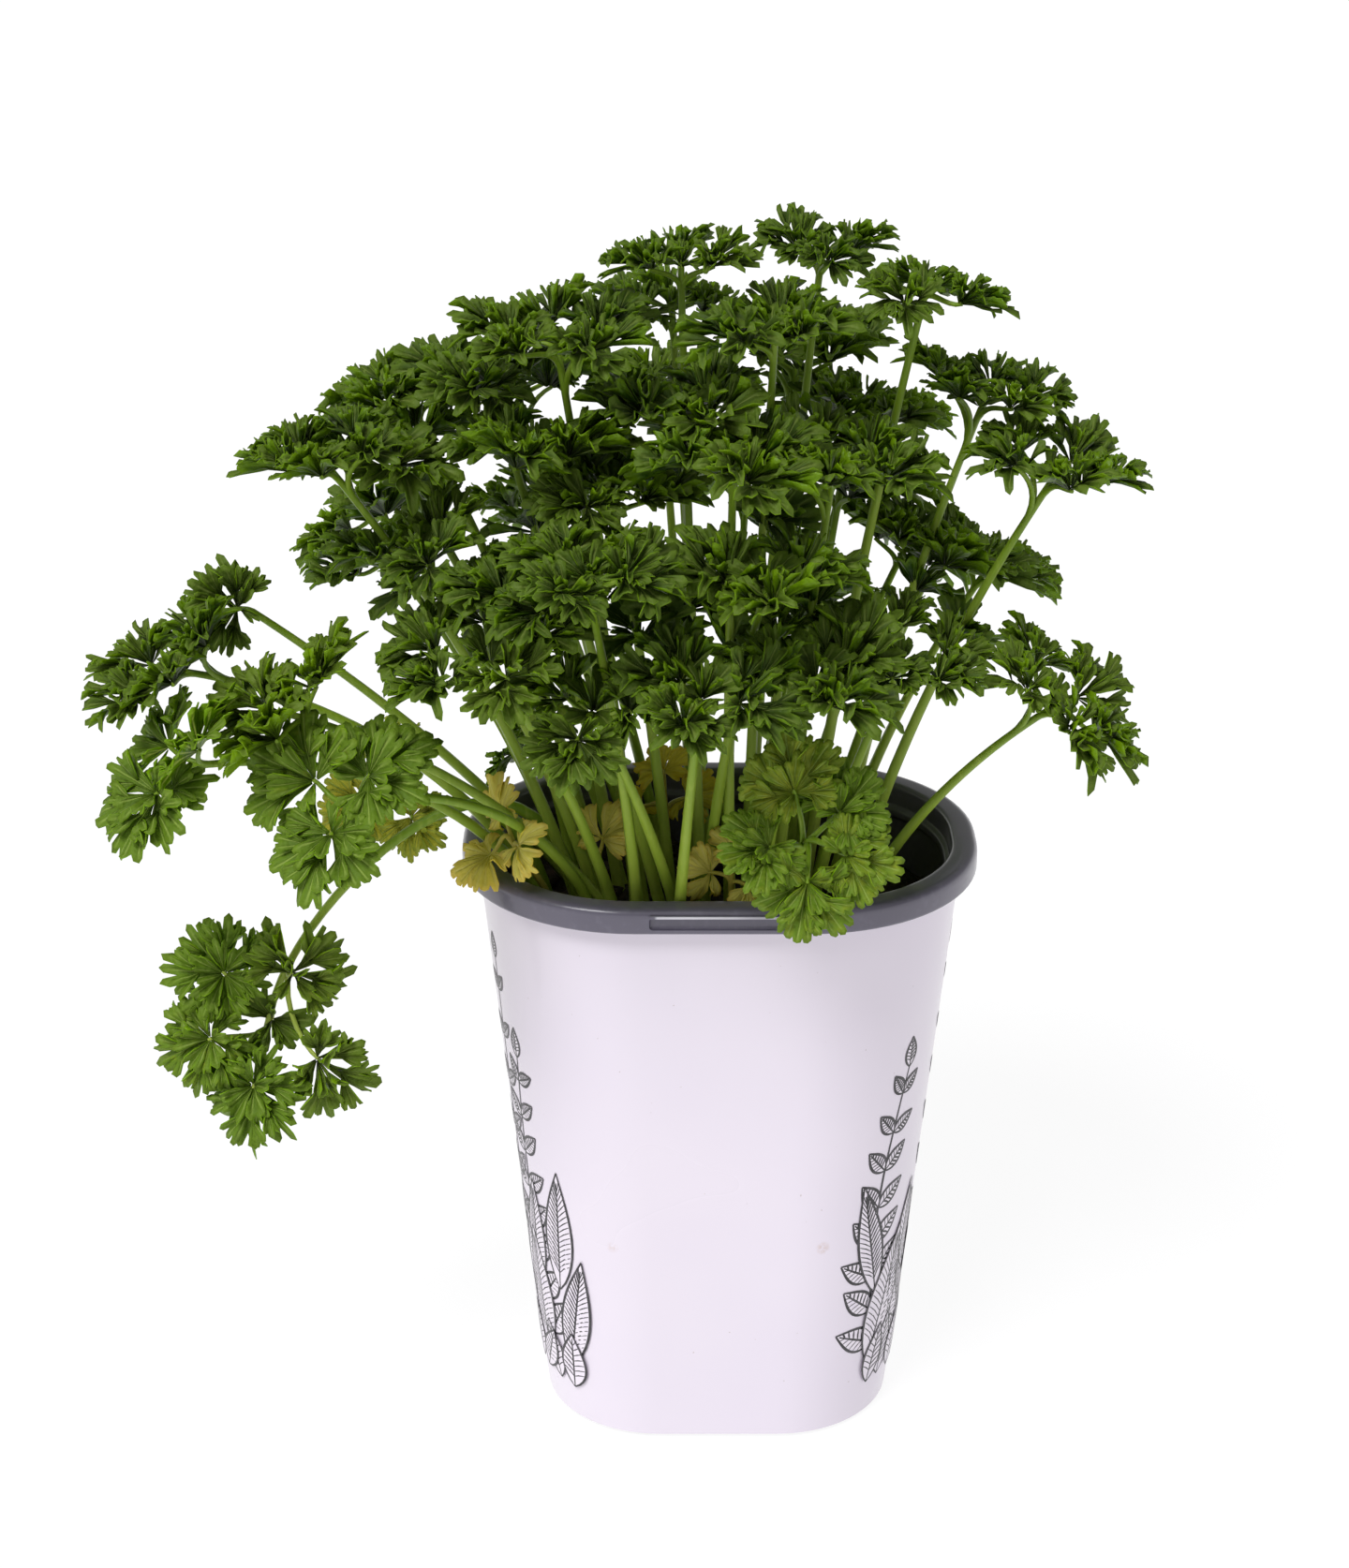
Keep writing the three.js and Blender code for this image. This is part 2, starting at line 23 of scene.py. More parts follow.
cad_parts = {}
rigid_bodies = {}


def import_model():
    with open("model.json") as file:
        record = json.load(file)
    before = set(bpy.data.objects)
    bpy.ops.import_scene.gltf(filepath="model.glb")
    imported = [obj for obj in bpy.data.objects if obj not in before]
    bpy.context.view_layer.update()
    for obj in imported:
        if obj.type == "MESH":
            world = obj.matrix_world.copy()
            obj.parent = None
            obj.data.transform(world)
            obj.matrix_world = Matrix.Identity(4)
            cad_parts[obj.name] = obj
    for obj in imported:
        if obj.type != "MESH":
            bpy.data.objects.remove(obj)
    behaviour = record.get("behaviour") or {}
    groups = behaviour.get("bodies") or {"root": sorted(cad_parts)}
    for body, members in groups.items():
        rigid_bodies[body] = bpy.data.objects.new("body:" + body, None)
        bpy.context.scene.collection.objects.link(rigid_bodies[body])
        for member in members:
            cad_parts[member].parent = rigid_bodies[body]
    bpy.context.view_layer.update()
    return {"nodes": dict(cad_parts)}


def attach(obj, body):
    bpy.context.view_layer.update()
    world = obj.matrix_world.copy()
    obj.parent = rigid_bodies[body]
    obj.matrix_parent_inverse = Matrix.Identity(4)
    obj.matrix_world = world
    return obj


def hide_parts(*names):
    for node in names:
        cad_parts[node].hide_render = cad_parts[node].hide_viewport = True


MM = 0.001  # metres in a millimetre
UP = Vector((0.0, 0.0, 1.0))
BODY = "root"
LEAF_MARKS = "leaf_marks"  # vein, margin and tint of each point of a frond

log = logging.getLogger("parsley")


# Modelling by hand


class Bench:
    """Blender's modelling operators, used on one object at a time."""

    @staticmethod
    def clear() -> None:
        """Deselects everything."""
        for thing in bpy.context.selected_objects:
            thing.select_set(False)
        bpy.context.view_layer.objects.active = None

    @staticmethod
    def take(thing: bpy.types.Object) -> bpy.types.Object:
        """Makes one object the selected and active one.

        Args:
            thing: The object to work on.

        Returns:
            The same object.
        """
        Bench.clear()
        thing.select_set(True)
        bpy.context.view_layer.objects.active = thing
        return thing

    @staticmethod
    def start(name: str, operator: Callable[..., set[str]], **sizes: object) -> bpy.types.Object:
        """Adds a primitive and names it.

        Args:
            name: The new object's name.
            operator: The operator that adds the primitive.
            **sizes: The operator's own settings.

        Returns:
            The new object, active and selected.
        """
        Bench.clear()
        operator(**sizes)
        made = bpy.context.object
        made.name = name
        made.data.name = name
        return made

    @staticmethod
    def add(name: str, data: bpy.types.ID) -> bpy.types.Object:
        """Puts a mesh, curve, camera or light in the scene.

        Args:
            name: The new object's name.
            data: What it shows.

        Returns:
            The new object, at the origin.
        """
        made = bpy.data.objects.new(name, data)
        bpy.context.scene.collection.objects.link(made)
        return made

    @staticmethod
    def extrude(thing: bpy.types.Object, moved: Callable[[Vector], Vector]) -> None:
        """Extrudes the selected edges, in edit mode, and moves their new points.

        Args:
            thing: The object that is edited.
            moved: Gives a new point's place from the point that it starts at, in metres.
        """
        bpy.ops.mesh.extrude_edges_move()
        body = bmesh.from_edit_mesh(thing.data)
        for vert in body.verts:
            if vert.select:
                vert.co = moved(vert.co)
        bmesh.update_edit_mesh(thing.data)

    @staticmethod
    def pick_open_edges() -> None:
        """Selects, in edit mode, what lies on edges with one face or none."""
        bpy.ops.mesh.select_all(action="DESELECT")
        bpy.ops.mesh.select_non_manifold()

    @staticmethod
    def apply(thing: bpy.types.Object, kind: str, **settings: object) -> None:
        """Adds a modifier and applies it.

        Args:
            thing: The object that gets the modifier.
            kind: Blender's name for the modifier's type.
            **settings: The modifier's own settings.
        """
        Bench.take(thing)
        modifier = thing.modifiers.new(kind.title(), kind)
        for key, value in settings.items():
            setattr(modifier, key, value)
        bpy.ops.object.modifier_apply(modifier=modifier.name)

    @staticmethod
    def cut(thing: bpy.types.Object, tool: bpy.types.Object) -> None:
        """Cuts one object out of another and removes the cutter.

        Args:
            thing: The object that is cut.
            tool: The cutter.
        """
        Bench.apply(thing, "BOOLEAN", operation="DIFFERENCE", solver="EXACT", object=tool)
        Bench.discard([tool])

    @staticmethod
    def join(name: str, things: Sequence[bpy.types.Object]) -> bpy.types.Object:
        """Joins several mesh objects in one.

        Args:
            name: Name of the joined object.
            things: The objects, of which the first gives the order of the material slots.

        Returns:
            The joined object.
        """
        Bench.clear()
        for thing in things:
            thing.select_set(True)
        bpy.context.view_layer.objects.active = things[0]
        if len(things) > 1:
            bpy.ops.object.join()
        joined = bpy.context.view_layer.objects.active
        joined.name = name
        joined.data.name = name
        return joined

    @staticmethod
    def copy(thing: bpy.types.Object, place: Matrix) -> bpy.types.Object:
        """Copies an object with a mesh of its own, and sets the place in that mesh.

        Args:
            thing: The object to copy.
            place: Where the copy goes, in metres.

        Returns:
            The copy, at the origin.
        """
        made = thing.copy()
        made.data = thing.data.copy()
        made.data.transform(place)
        bpy.context.scene.collection.objects.link(made)
        return made

    @staticmethod
    def settle(thing: bpy.types.Object) -> None:
        """Moves an object's place, turn and size into its mesh."""
        Bench.take(thing)
        bpy.ops.object.transform_apply(location=True, rotation=True, scale=True)

    @staticmethod
    def discard(things: Iterable[bpy.types.Object]) -> None:
        """Removes objects and their meshes or curves.

        Args:
            things: The objects to remove.
        """
        for thing in list(things):
            data = thing.data
            bpy.data.objects.remove(thing)
            if data.users == 0:
                kept_in = bpy.data.meshes if isinstance(data, bpy.types.Mesh) else bpy.data.curves
                kept_in.remove(data)

    @staticmethod
    def smooth(thing: bpy.types.Object, angle: float) -> None:
        """Shades an object smooth and keeps its sharp edges.

        Args:
            thing: The object.
            angle: The angle in degrees from which an edge is sharp.
        """
        Bench.take(thing)
        bpy.ops.object.shade_smooth_by_angle(angle=math.radians(angle))

    @staticmethod
    def skin(name: str, rings: Sequence[Sequence[Vector]], closed: bool = False) -> bpy.types.Object:
        """Extrudes a circle ring by ring along given outlines.

        Args:
            name: The new object's name.
            rings: Outlines with as many points each, in millimetres.
            closed: Whether the last ring joins the first; otherwise both ends get a flat face.

        Returns:
            The new object, in metres, its faces pointing out.
        """

        def follow(before: Sequence[Vector], after: Sequence[Vector]) -> Callable[[Vector], Vector]:
            """What moves each point of one outline to its match on the next."""
            known = np.array(before, float) * MM

            def moved(start: Vector) -> Vector:
                """The match of the outline's point that lies nearest."""
                nearest = int(np.argmin(((known - np.array(start)) ** 2).sum(axis=1)))
                return Vector(after[nearest]) * MM

            return moved

        made = Bench.start(name, bpy.ops.mesh.primitive_circle_add, vertices=len(rings[0]), radius=1.0)
        made.data.vertices.foreach_set("co", (np.array(rings[0], float) * MM).ravel())
        bpy.ops.object.mode_set(mode="EDIT")
        for before, after in zip(rings, rings[1:]):
            Bench.extrude(made, follow(before, after))
        Bench.pick_open_edges()
        if closed:
            bpy.ops.mesh.bridge_edge_loops()
        else:
            bpy.ops.mesh.edge_face_add()
            Bench.pick_open_edges()
            bpy.ops.mesh.edge_face_add()
        bpy.ops.mesh.select_all(action="SELECT")
        bpy.ops.mesh.normals_make_consistent(inside=False)
        bpy.ops.mesh.select_all(action="DESELECT")
        bpy.ops.object.mode_set(mode="OBJECT")
        return made


def fillet(corners: Sequence[tuple[float, float, float]], steps: int = 5) -> list[tuple[float, float]]:
    """Rounds the corners of a section.

    Args:
        corners: Height, offset and rounding radius of each corner, in order.
        steps: Points on each rounded corner, less one.

    Returns:
        Heights and offsets along the rounded section.
    """
    section: list[tuple[float, float]] = []
    for i, (height, offset, radius) in enumerate(corners):
        here = Vector((height, offset))
        if radius == 0 or i in (0, len(corners) - 1):
            section.append((height, offset))
            continue
        back = (Vector(corners[i - 1][:2]) - here).normalized() * radius
        ahead = (Vector(corners[i + 1][:2]) - here).normalized() * radius
        for step in range(steps + 1):
            t = step / steps
            point = here + back * (1 - t) ** 2 + ahead * t**2
            section.append((point.x, point.y))
    return section


# Shader maths


class Wire:
    """A shader socket whose sums and products become Math nodes."""

    def __init__(self, board: Board, socket: bpy.types.NodeSocket) -> None:
        """Keeps the socket and the board that it is on."""
        self.board = board
        self.socket = socket

    def math(self, operation: str, *terms: Wire | float) -> Wire:
        """Adds a Math node with this wire as its first term."""
        return self.board.math(operation, self, *terms)

    def __add__(self, other: Wire | float) -> Wire:
        """Sum of the two."""
        return self.math("ADD", other)

    __radd__ = __add__

    def __sub__(self, other: Wire | float) -> Wire:
        """This less the other."""
        return self.math("SUBTRACT", other)

    def __rsub__(self, other: float) -> Wire:
        """The other less this."""
        return self.board.math("SUBTRACT", other, self)

    def __mul__(self, other: Wire | float) -> Wire:
        """Product of the two."""
        return self.math("MULTIPLY", other)

    __rmul__ = __mul__

    def step(self, low: float, high: float) -> Wire:
        """Adds a smooth step.

        Args:
            low: Where the step is 0.
            high: Where it is 1, which may be the smaller of the two.

        Returns:
            The step's value.
        """
        settings = {"interpolation_type": "SMOOTHSTEP"}
        ends = {"Value": self, "From Min": low, "From Max": high, "To Min": 0.0, "To Max": 1.0}
        if low > high:
            ends |= {"From Min": high, "From Max": low, "To Min": 1.0, "To Max": 0.0}
        return self.board.wire("ShaderNodeMapRange", settings, ends)


class Board:
    """The node tree of one material."""

    def __init__(self, name: str) -> None:
        """Makes an empty material.

        Args:
            name: The material's name.
        """
        self.material = bpy.data.materials.new(name)
        self.material.use_nodes = True
        self.tree = self.material.node_tree
        self.tree.nodes.clear()

    def node(
        self,
        kind: str,
        settings: dict[str, object] | None = None,
        inputs: dict[str | int, object] | None = None,
    ) -> bpy.types.Node:
        """Adds a node.

        Args:
            kind: The node's type.
            settings: The node's own settings, which are set first.
            inputs: The values or wires of its sockets.

        Returns:
            The node.
        """
        made = self.tree.nodes.new(kind)
        for key, value in (settings or {}).items():
            setattr(made, key, value)
        for key, value in (inputs or {}).items():
            if isinstance(value, Wire):
                self.tree.links.new(value.socket, made.inputs[key])
            else:
                made.inputs[key].default_value = value
        return made

    def wire(
        self,
        kind: str,
        settings: dict[str, object] | None = None,
        inputs: dict[str | int, object] | None = None,
        output: str | int = 0,
    ) -> Wire:
        """Adds a node and returns one of its outputs as a wire."""
        return Wire(self, self.node(kind, settings, inputs).outputs[output])

    def math(self, operation: str, *terms: Wire | float) -> Wire:
        """Adds a Math node on these terms."""
        return self.wire("ShaderNodeMath", {"operation": operation}, dict(enumerate(terms)))

    def place(self) -> Wire:
        """The object's own coordinates, in metres."""
        return self.wire("ShaderNodeTexCoord", output="Object")

    def axes(self) -> tuple[Wire, Wire, Wire]:
        """The object's own coordinates one by one, in millimetres."""
        parts = self.node("ShaderNodeSeparateXYZ", inputs={"Vector": self.place()})
        return tuple(Wire(self, parts.outputs[i]) * (1 / MM) for i in range(3))

    def marks(self) -> tuple[Wire, Wire, Wire]:
        """Reads what each point of a frond carries.

        Returns:
            Its vein, margin and tint.
        """
        colour = self.wire("ShaderNodeAttribute", {"attribute_name": LEAF_MARKS}, output="Color")
        parts = self.node("ShaderNodeSeparateColor", inputs={"Color": colour})
        return tuple(Wire(self, parts.outputs[i]) for i in range(3))

    def noise(self, size: float, detail: float = 2.0, stretch: Sequence[float] = (1, 1, 1)) -> Wire:
        """Even noise from 0 to 1.

        Args:
            size: Size of its features in millimetres.
            detail: Octaves of finer noise.
            stretch: How many times closer the features lie along each axis.

        Returns:
            The noise's value.
        """
        place = self.place()
        if tuple(stretch) != (1, 1, 1):
            scaled = {0: place, 1: tuple(stretch)}
            place = self.wire("ShaderNodeVectorMath", {"operation": "MULTIPLY"}, scaled)
        inputs = {"Vector": place, "Scale": 1 / (size * MM), "Detail": detail}
        return self.wire("ShaderNodeTexNoise", inputs=inputs)

    def near(self, point: Sequence[float], radius: float) -> Wire:
        """Marks a round spot.

        Args:
            point: Its middle, in millimetres.
            radius: Its radius, in millimetres.

        Returns:
            1 within the radius, falling to 0 at twice the radius.
        """
        there = tuple(value * MM for value in point)
        ends = {0: self.place(), 1: there}
        distance = self.wire("ShaderNodeVectorMath", {"operation": "DISTANCE"}, ends, output="Value")
        return distance.step(2 * radius * MM, radius * MM)

    def mix(self, factor: Wire | float, first: Colour | Wire, second: Colour | Wire) -> Wire:
        """Mixes two colours."""
        ends = {0: factor, 6: rgba(first), 7: rgba(second)}
        return self.wire("ShaderNodeMix", {"data_type": "RGBA", "clamp_factor": True}, ends, output=2)

    def bump(self, height: Wire, strength: float, depth: float) -> Wire:
        """A bumped normal; depth is the height's full range in millimetres."""
        sizes = {"Height": height, "Strength": strength, "Distance": depth * MM}
        return self.wire("ShaderNodeBump", inputs=sizes, output="Normal")

    def finish(self, shader: Wire) -> bpy.types.Material:
        """Joins a shader to the material's output and returns the material."""
        self.node("ShaderNodeOutputMaterial", inputs={"Surface": shader})
        return self.material

    def principled(self, **sockets: object) -> Wire:
        """A Principled shader; socket names have underscores for spaces."""
        named = {key.replace("_", " "): value for key, value in sockets.items()}
        return self.wire("ShaderNodeBsdfPrincipled", inputs=named)


Colour = tuple[float, float, float]


def rgba(colour: Colour | Wire) -> tuple[float, ...] | Wire:
    """A colour with full alpha, or the wire as it is."""
    return colour if isinstance(colour, Wire) else (*colour, 1.0)


def srgb(red: float, green: float, blue: float) -> Colour:
    """A linear colour from display values.

    Args:
        red: Red, from 0 to 255.
        green: Green, from 0 to 255.
        blue: Blue, from 0 to 255.

    Returns:
        The colour as a shader takes it.
    """

    def linear(value: float) -> float:
        """One channel, from 0 to 255 to linear."""
        share = value / 255
        return share / 12.92 if share <= 0.04045 else ((share + 0.055) / 1.055) ** 2.4

    return linear(red), linear(green), linear(blue)


# Finishes


@dataclass(frozen=True)
class Finish:
    """A named material, of which each kind wires its own surface."""

    name: str

    def material(self) -> bpy.types.Material:
        """Builds the material.

        Returns:
            The finished material.
        """
        board = Board(self.name)
        return board.finish(self.surface(board))

    def surface(self, board: Board) -> Wire:
        """Wires the surface.

        Args:
            board: The material's node tree.

        Returns:
            The surface's shader.
        """
        raise NotImplementedError


@dataclass(frozen=True)
class PotPlastic(Finish):
    """Dark grey moulded plastic: fine scuffs, a painted highlight along the edge over the recess and a spot
    of dirt.
    """

    name: str = "pot_plastic_dark_grey"
    dark: Colour = srgb(84, 80, 96)
    worn: Colour = srgb(112, 107, 124)
    # painted highlight: pale colour for the glint along the lip over the front recess
    painted_highlight: Colour = srgb(222, 220, 228)
    painted_highlight_half_length: float = 16.4
    painted_highlight_half_height: float = 0.42
    painted_highlight_front: float = -46.0
    painted_highlight_z: float = 155.3
    dirt: Colour = srgb(92, 66, 40)
    dirt_spot: tuple[float, float, float] = (-38.6, -46.6, 155.2)
    dirt_radius: float = 0.9
    roughness: float = 0.36

    def surface(self, board: Board) -> Wire:
        """Wires the surface."""
        scuffs = board.noise(size=2.2, detail=4.0).step(0.5, 0.75)
        clouds = board.noise(size=26.0)
        spot = board.near(self.dirt_spot, self.dirt_radius) * board.noise(size=0.8).step(0.3, 0.5)
        colour = board.mix(scuffs * 0.3 + clouds * 0.45, self.dark, self.worn)
        x, y, z = board.axes()
        # painted highlight: a pale line along the lip over the front recess, standing in for the key light's
        # glint
        high = (z - self.painted_highlight_z).math("ABSOLUTE").step(self.painted_highlight_half_height, 0.2)
        long = x.math("ABSOLUTE").step(self.painted_highlight_half_length, self.painted_highlight_half_length - 1)
        line = high * y.step(self.painted_highlight_front + 0.4, self.painted_highlight_front) * long
        colour = board.mix(line * (clouds.step(0.35, 0.7) * 0.6 + 0.3), colour, self.painted_highlight)
        return board.principled(
            Base_Color=board.mix(spot, colour, self.dirt),
            Roughness=self.roughness + 0.12 * scuffs + 0.3 * spot,
            Coat_Weight=0.5,
            Coat_Roughness=0.1,
            Normal=board.bump(board.noise(size=0.6, detail=3.0) * 0.4 + clouds, strength=0.25, depth=0.2),
        )


@dataclass(frozen=True)
class SleeveFilm(Finish):
    """White glossy film with a faint violet cast, small specks, smudges and a glued seam at the back."""

    name: str = "sleeve_film_white"
    white: Colour = srgb(236, 228, 239)
    shade: Colour = srgb(226, 217, 232)
    speck: Colour = srgb(190, 176, 178)
    smudge: Colour = srgb(188, 150, 118)
    smudges: tuple[tuple[float, float, float], ...] = ((-28.0, -41.3, 58.0), (27.1, -41.3, 58.0))
    smudge_radius: float = 1.8
    seam_x: float = 12.0
    seam_half: float = 0.9
    roughness: float = 0.24

    def surface(self, board: Board) -> Wire:
        """Wires the surface."""
        clouds = board.noise(size=60.0)
        specks = board.noise(size=1.1, detail=1.0).step(0.80, 0.84)
        colour = board.mix(clouds, self.white, self.shade)
        colour = board.mix(specks * 0.7, colour, self.speck)
        for place in self.smudges:
            spot = board.near(place, self.smudge_radius) * board.noise(size=1.1).step(0.35, 0.6)
            colour = board.mix(spot, colour, self.smudge)
        x, y, _ = board.axes()
        seam = (x - self.seam_x).math("ABSOLUTE").step(self.seam_half, self.seam_half / 3) * y.step(0, 1)
        waves = board.noise(size=42.0, detail=1.0, stretch=(1, 1, 0.35))
        return board.principled(
            Base_Color=board.mix(seam * 0.35, colour, self.speck),
            Roughness=self.roughness + 0.1 * clouds + 0.3 * specks,
            Coat_Weight=0.25,
            Coat_Roughness=0.12,
            Normal=board.bump(waves + 0.25 * seam, strength=0.2, depth=1.2),
        )


@dataclass(frozen=True)
class PrintInk(Finish):
    """Printing ink on the sleeve, a little thin in places."""

    name: str = "print_ink"
    full: Colour = srgb(40, 38, 42)
    thin: Colour = srgb(84, 80, 86)
    roughness: float = 0.34

    def surface(self, board: Board) -> Wire:
        """Wires the surface."""
        wear = board.noise(size=3.0, detail=3.0).step(0.45, 0.8)
        return board.principled(
            Base_Color=board.mix(wear, self.full, self.thin),
            Roughness=self.roughness + 0.1 * wear,
        )


WHITE_INK = PrintInk("print_white", full=srgb(236, 228, 239), thin=srgb(226, 217, 232), roughness=0.3)


@dataclass(frozen=True)
class Peat(Finish):
    """Dark damp peat with paler fibres."""

    name: str = "peat_dark"
    dark: Colour = srgb(20, 15, 11)
    brown: Colour = srgb(58, 42, 29)
    fibre: Colour = srgb(112, 88, 60)

    def surface(self, board: Board) -> Wire:
        """Wires the surface."""
        lumps = board.noise(size=3.0, detail=5.0)
        fibres = board.noise(size=0.9, stretch=(1, 3, 1)).step(0.66, 0.74)
        colour = board.mix(lumps.step(0.35, 0.75), self.dark, self.brown)
        return board.principled(
            Base_Color=board.mix(fibres * 0.6, colour, self.fibre),
            Roughness=0.95 - 0.15 * lumps,
            Normal=board.bump(lumps + 0.4 * fibres, strength=0.9, depth=1.2),
        )


@dataclass(frozen=True)
class Blade(Finish):
    """Leaf blade, deep to fresh by the leaflet's tint, with paler veins, painted shade at the foot and some
    glow.
    """

    deep: Colour
    fresh: Colour
    vein: Colour
    edge: Colour
    glow: Colour
    faded: Colour = srgb(206, 196, 62)
    # painted shade: near-black green for the foot of each leaflet, where the tuft is shaded
    shade: Colour = srgb(10, 22, 2)
    glow_share: float = 0.12
    edge_share: float = 0.5
    vein_share: float = 0.45
    painted_shade_share: float = 0.94
    mottling: float = 0.7
    roughness: float = 0.3
    specular: float = 0.2

    def surface(self, board: Board) -> Wire:
        """Wires the surface."""
        vein, margin, tint = board.marks()
        mottle = board.noise(size=2.6, detail=3.0)
        blend = tint + self.mottling * (mottle - 0.5)
        colour = board.mix(blend, self.deep, self.fresh)
        colour = board.mix(blend - 1, colour, self.faded)
        lines = vein.step(0.2, 0.85) * margin.step(1.05, 0.6)
        # painted shade: darkens each leaflet towards its foot, standing in for the shade inside the tuft
        colour = board.mix(margin.step(0.86, 0.12) * self.painted_shade_share, colour, self.shade)
        colour = board.mix(margin.step(0.66, 1.0) * self.edge_share, colour, self.edge)
        colour = board.mix(lines * self.vein_share, colour, self.vein)
        puckers = board.noise(size=0.9) * 0.4 + board.noise(size=2.6, detail=1.0)
        shader = board.principled(
            Base_Color=colour,
            Roughness=self.roughness + 0.16 * mottle,
            Specular_IOR_Level=self.specular,
            Normal=board.bump(puckers - lines * 0.4, strength=0.8, depth=0.9),
        )
        through = board.wire("ShaderNodeBsdfTranslucent", inputs={"Color": rgba(self.glow)})
        both = {0: self.glow_share, 1: shader, 2: through}
        return board.wire("ShaderNodeMixShader", inputs=both)


@dataclass(frozen=True)
class Stalk(Finish):
    """Ribbed juicy stalk, pale at the foot and greener towards the leaf."""

    foot: Colour
    middle: Colour
    tip: Colour
    roughness: float = 0.34

    def surface(self, board: Board) -> Wire:
        """Wires the surface."""
        _, along, tint = board.marks()
        streaks = board.noise(size=1.6, stretch=(1, 1, 0.12))
        colour = board.mix(along.step(0.05, 0.45), self.foot, self.middle)
        colour = board.mix(along.step(0.5, 1.0), colour, self.tip)
        colour = board.mix(streaks.step(0.45, 0.8) * 0.4, colour, self.foot)
        colour = board.mix((1 - tint) * 0.35, colour, self.tip)
        return board.principled(
            Base_Color=colour,
            Roughness=self.roughness + 0.15 * streaks,
            Specular_IOR_Level=0.28,
            Subsurface_Weight=0.12,
            Subsurface_Radius=(0.6 * MM, 1.0 * MM, 0.2 * MM),
            Subsurface_Scale=1.0,
            Normal=board.bump(streaks, strength=0.3, depth=0.15),
        )


@dataclass(frozen=True)
class StudioFloor(Finish):
    """Plain pale floor with a barely visible grain, a little lit from below as a light table is."""

    name: str = "studio_floor"
    pale: Colour = srgb(110, 110, 111)
    lit_from_below: float = 0.9

    def surface(self, board: Board) -> Wire:
        """Wires the surface."""
        grain = board.noise(size=300.0)
        return board.principled(
            Base_Color=rgba(self.pale),
            Roughness=0.85 + 0.1 * grain,
            Specular_IOR_Level=0.1,
            Emission_Color=(1.0, 1.0, 1.0, 1.0),
            Emission_Strength=self.lit_from_below,
        )


GREEN_BLADE = Blade(
    "blade_curly",
    deep=srgb(42, 76, 2),
    fresh=srgb(122, 160, 4),
    vein=srgb(116, 150, 26),
    edge=srgb(124, 160, 12),
    glow=srgb(104, 150, 4),
)
GREEN_UNDERSIDE = Blade(
    "blade_curly_underside",
    deep=srgb(62, 86, 18),
    fresh=srgb(106, 130, 34),
    vein=srgb(146, 164, 80),
    edge=srgb(104, 130, 36),
    glow=srgb(104, 150, 4),
    painted_shade_share=0.5,
    roughness=0.5,
)
FLAT_BLADE = Blade(
    "blade_flat",
    deep=srgb(64, 104, 2),
    fresh=srgb(120, 164, 4),
    vein=srgb(198, 218, 96),
    edge=srgb(124, 162, 18),
    glow=srgb(112, 164, 4),
    vein_share=0.95,
    painted_shade_share=0.3,
)
FLAT_UNDERSIDE = Blade(
    "blade_flat_underside",
    deep=srgb(66, 92, 18),
    fresh=srgb(104, 134, 30),
    vein=srgb(152, 176, 80),
    edge=srgb(110, 138, 34),
    glow=srgb(112, 164, 4),
    vein_share=0.8,
    painted_shade_share=0.2,
    roughness=0.5,
)
YELLOW_BLADE = Blade(
    "old_blade_upper",
    deep=srgb(206, 200, 62),
    fresh=srgb(248, 242, 112),
    vein=srgb(250, 244, 150),
    edge=srgb(220, 172, 66),
    glow=srgb(248, 234, 80),
    glow_share=0.35,
    edge_share=0.4,
    painted_shade_share=0.1,
    roughness=0.55,
)
YELLOW_UNDERSIDE = Blade(
    "old_blade_underside",
    deep=srgb(206, 196, 86),
    fresh=srgb(240, 232, 124),
    vein=srgb(246, 238, 158),
    edge=srgb(212, 166, 74),
    glow=srgb(248, 234, 80),
    glow_share=0.35,
    edge_share=0.4,
    painted_shade_share=0.1,
    roughness=0.6,
)
GREEN_STALK = Stalk(
    "stalk_green",
    foot=srgb(170, 186, 80),
    middle=srgb(144, 168, 54),
    tip=srgb(114, 144, 30),
)
YELLOW_STALK = Stalk(
    "stalk_old",
    foot=srgb(176, 164, 84),
    middle=srgb(160, 152, 66),
    tip=srgb(164, 154, 60),
)


# Pot, sleeve and peat


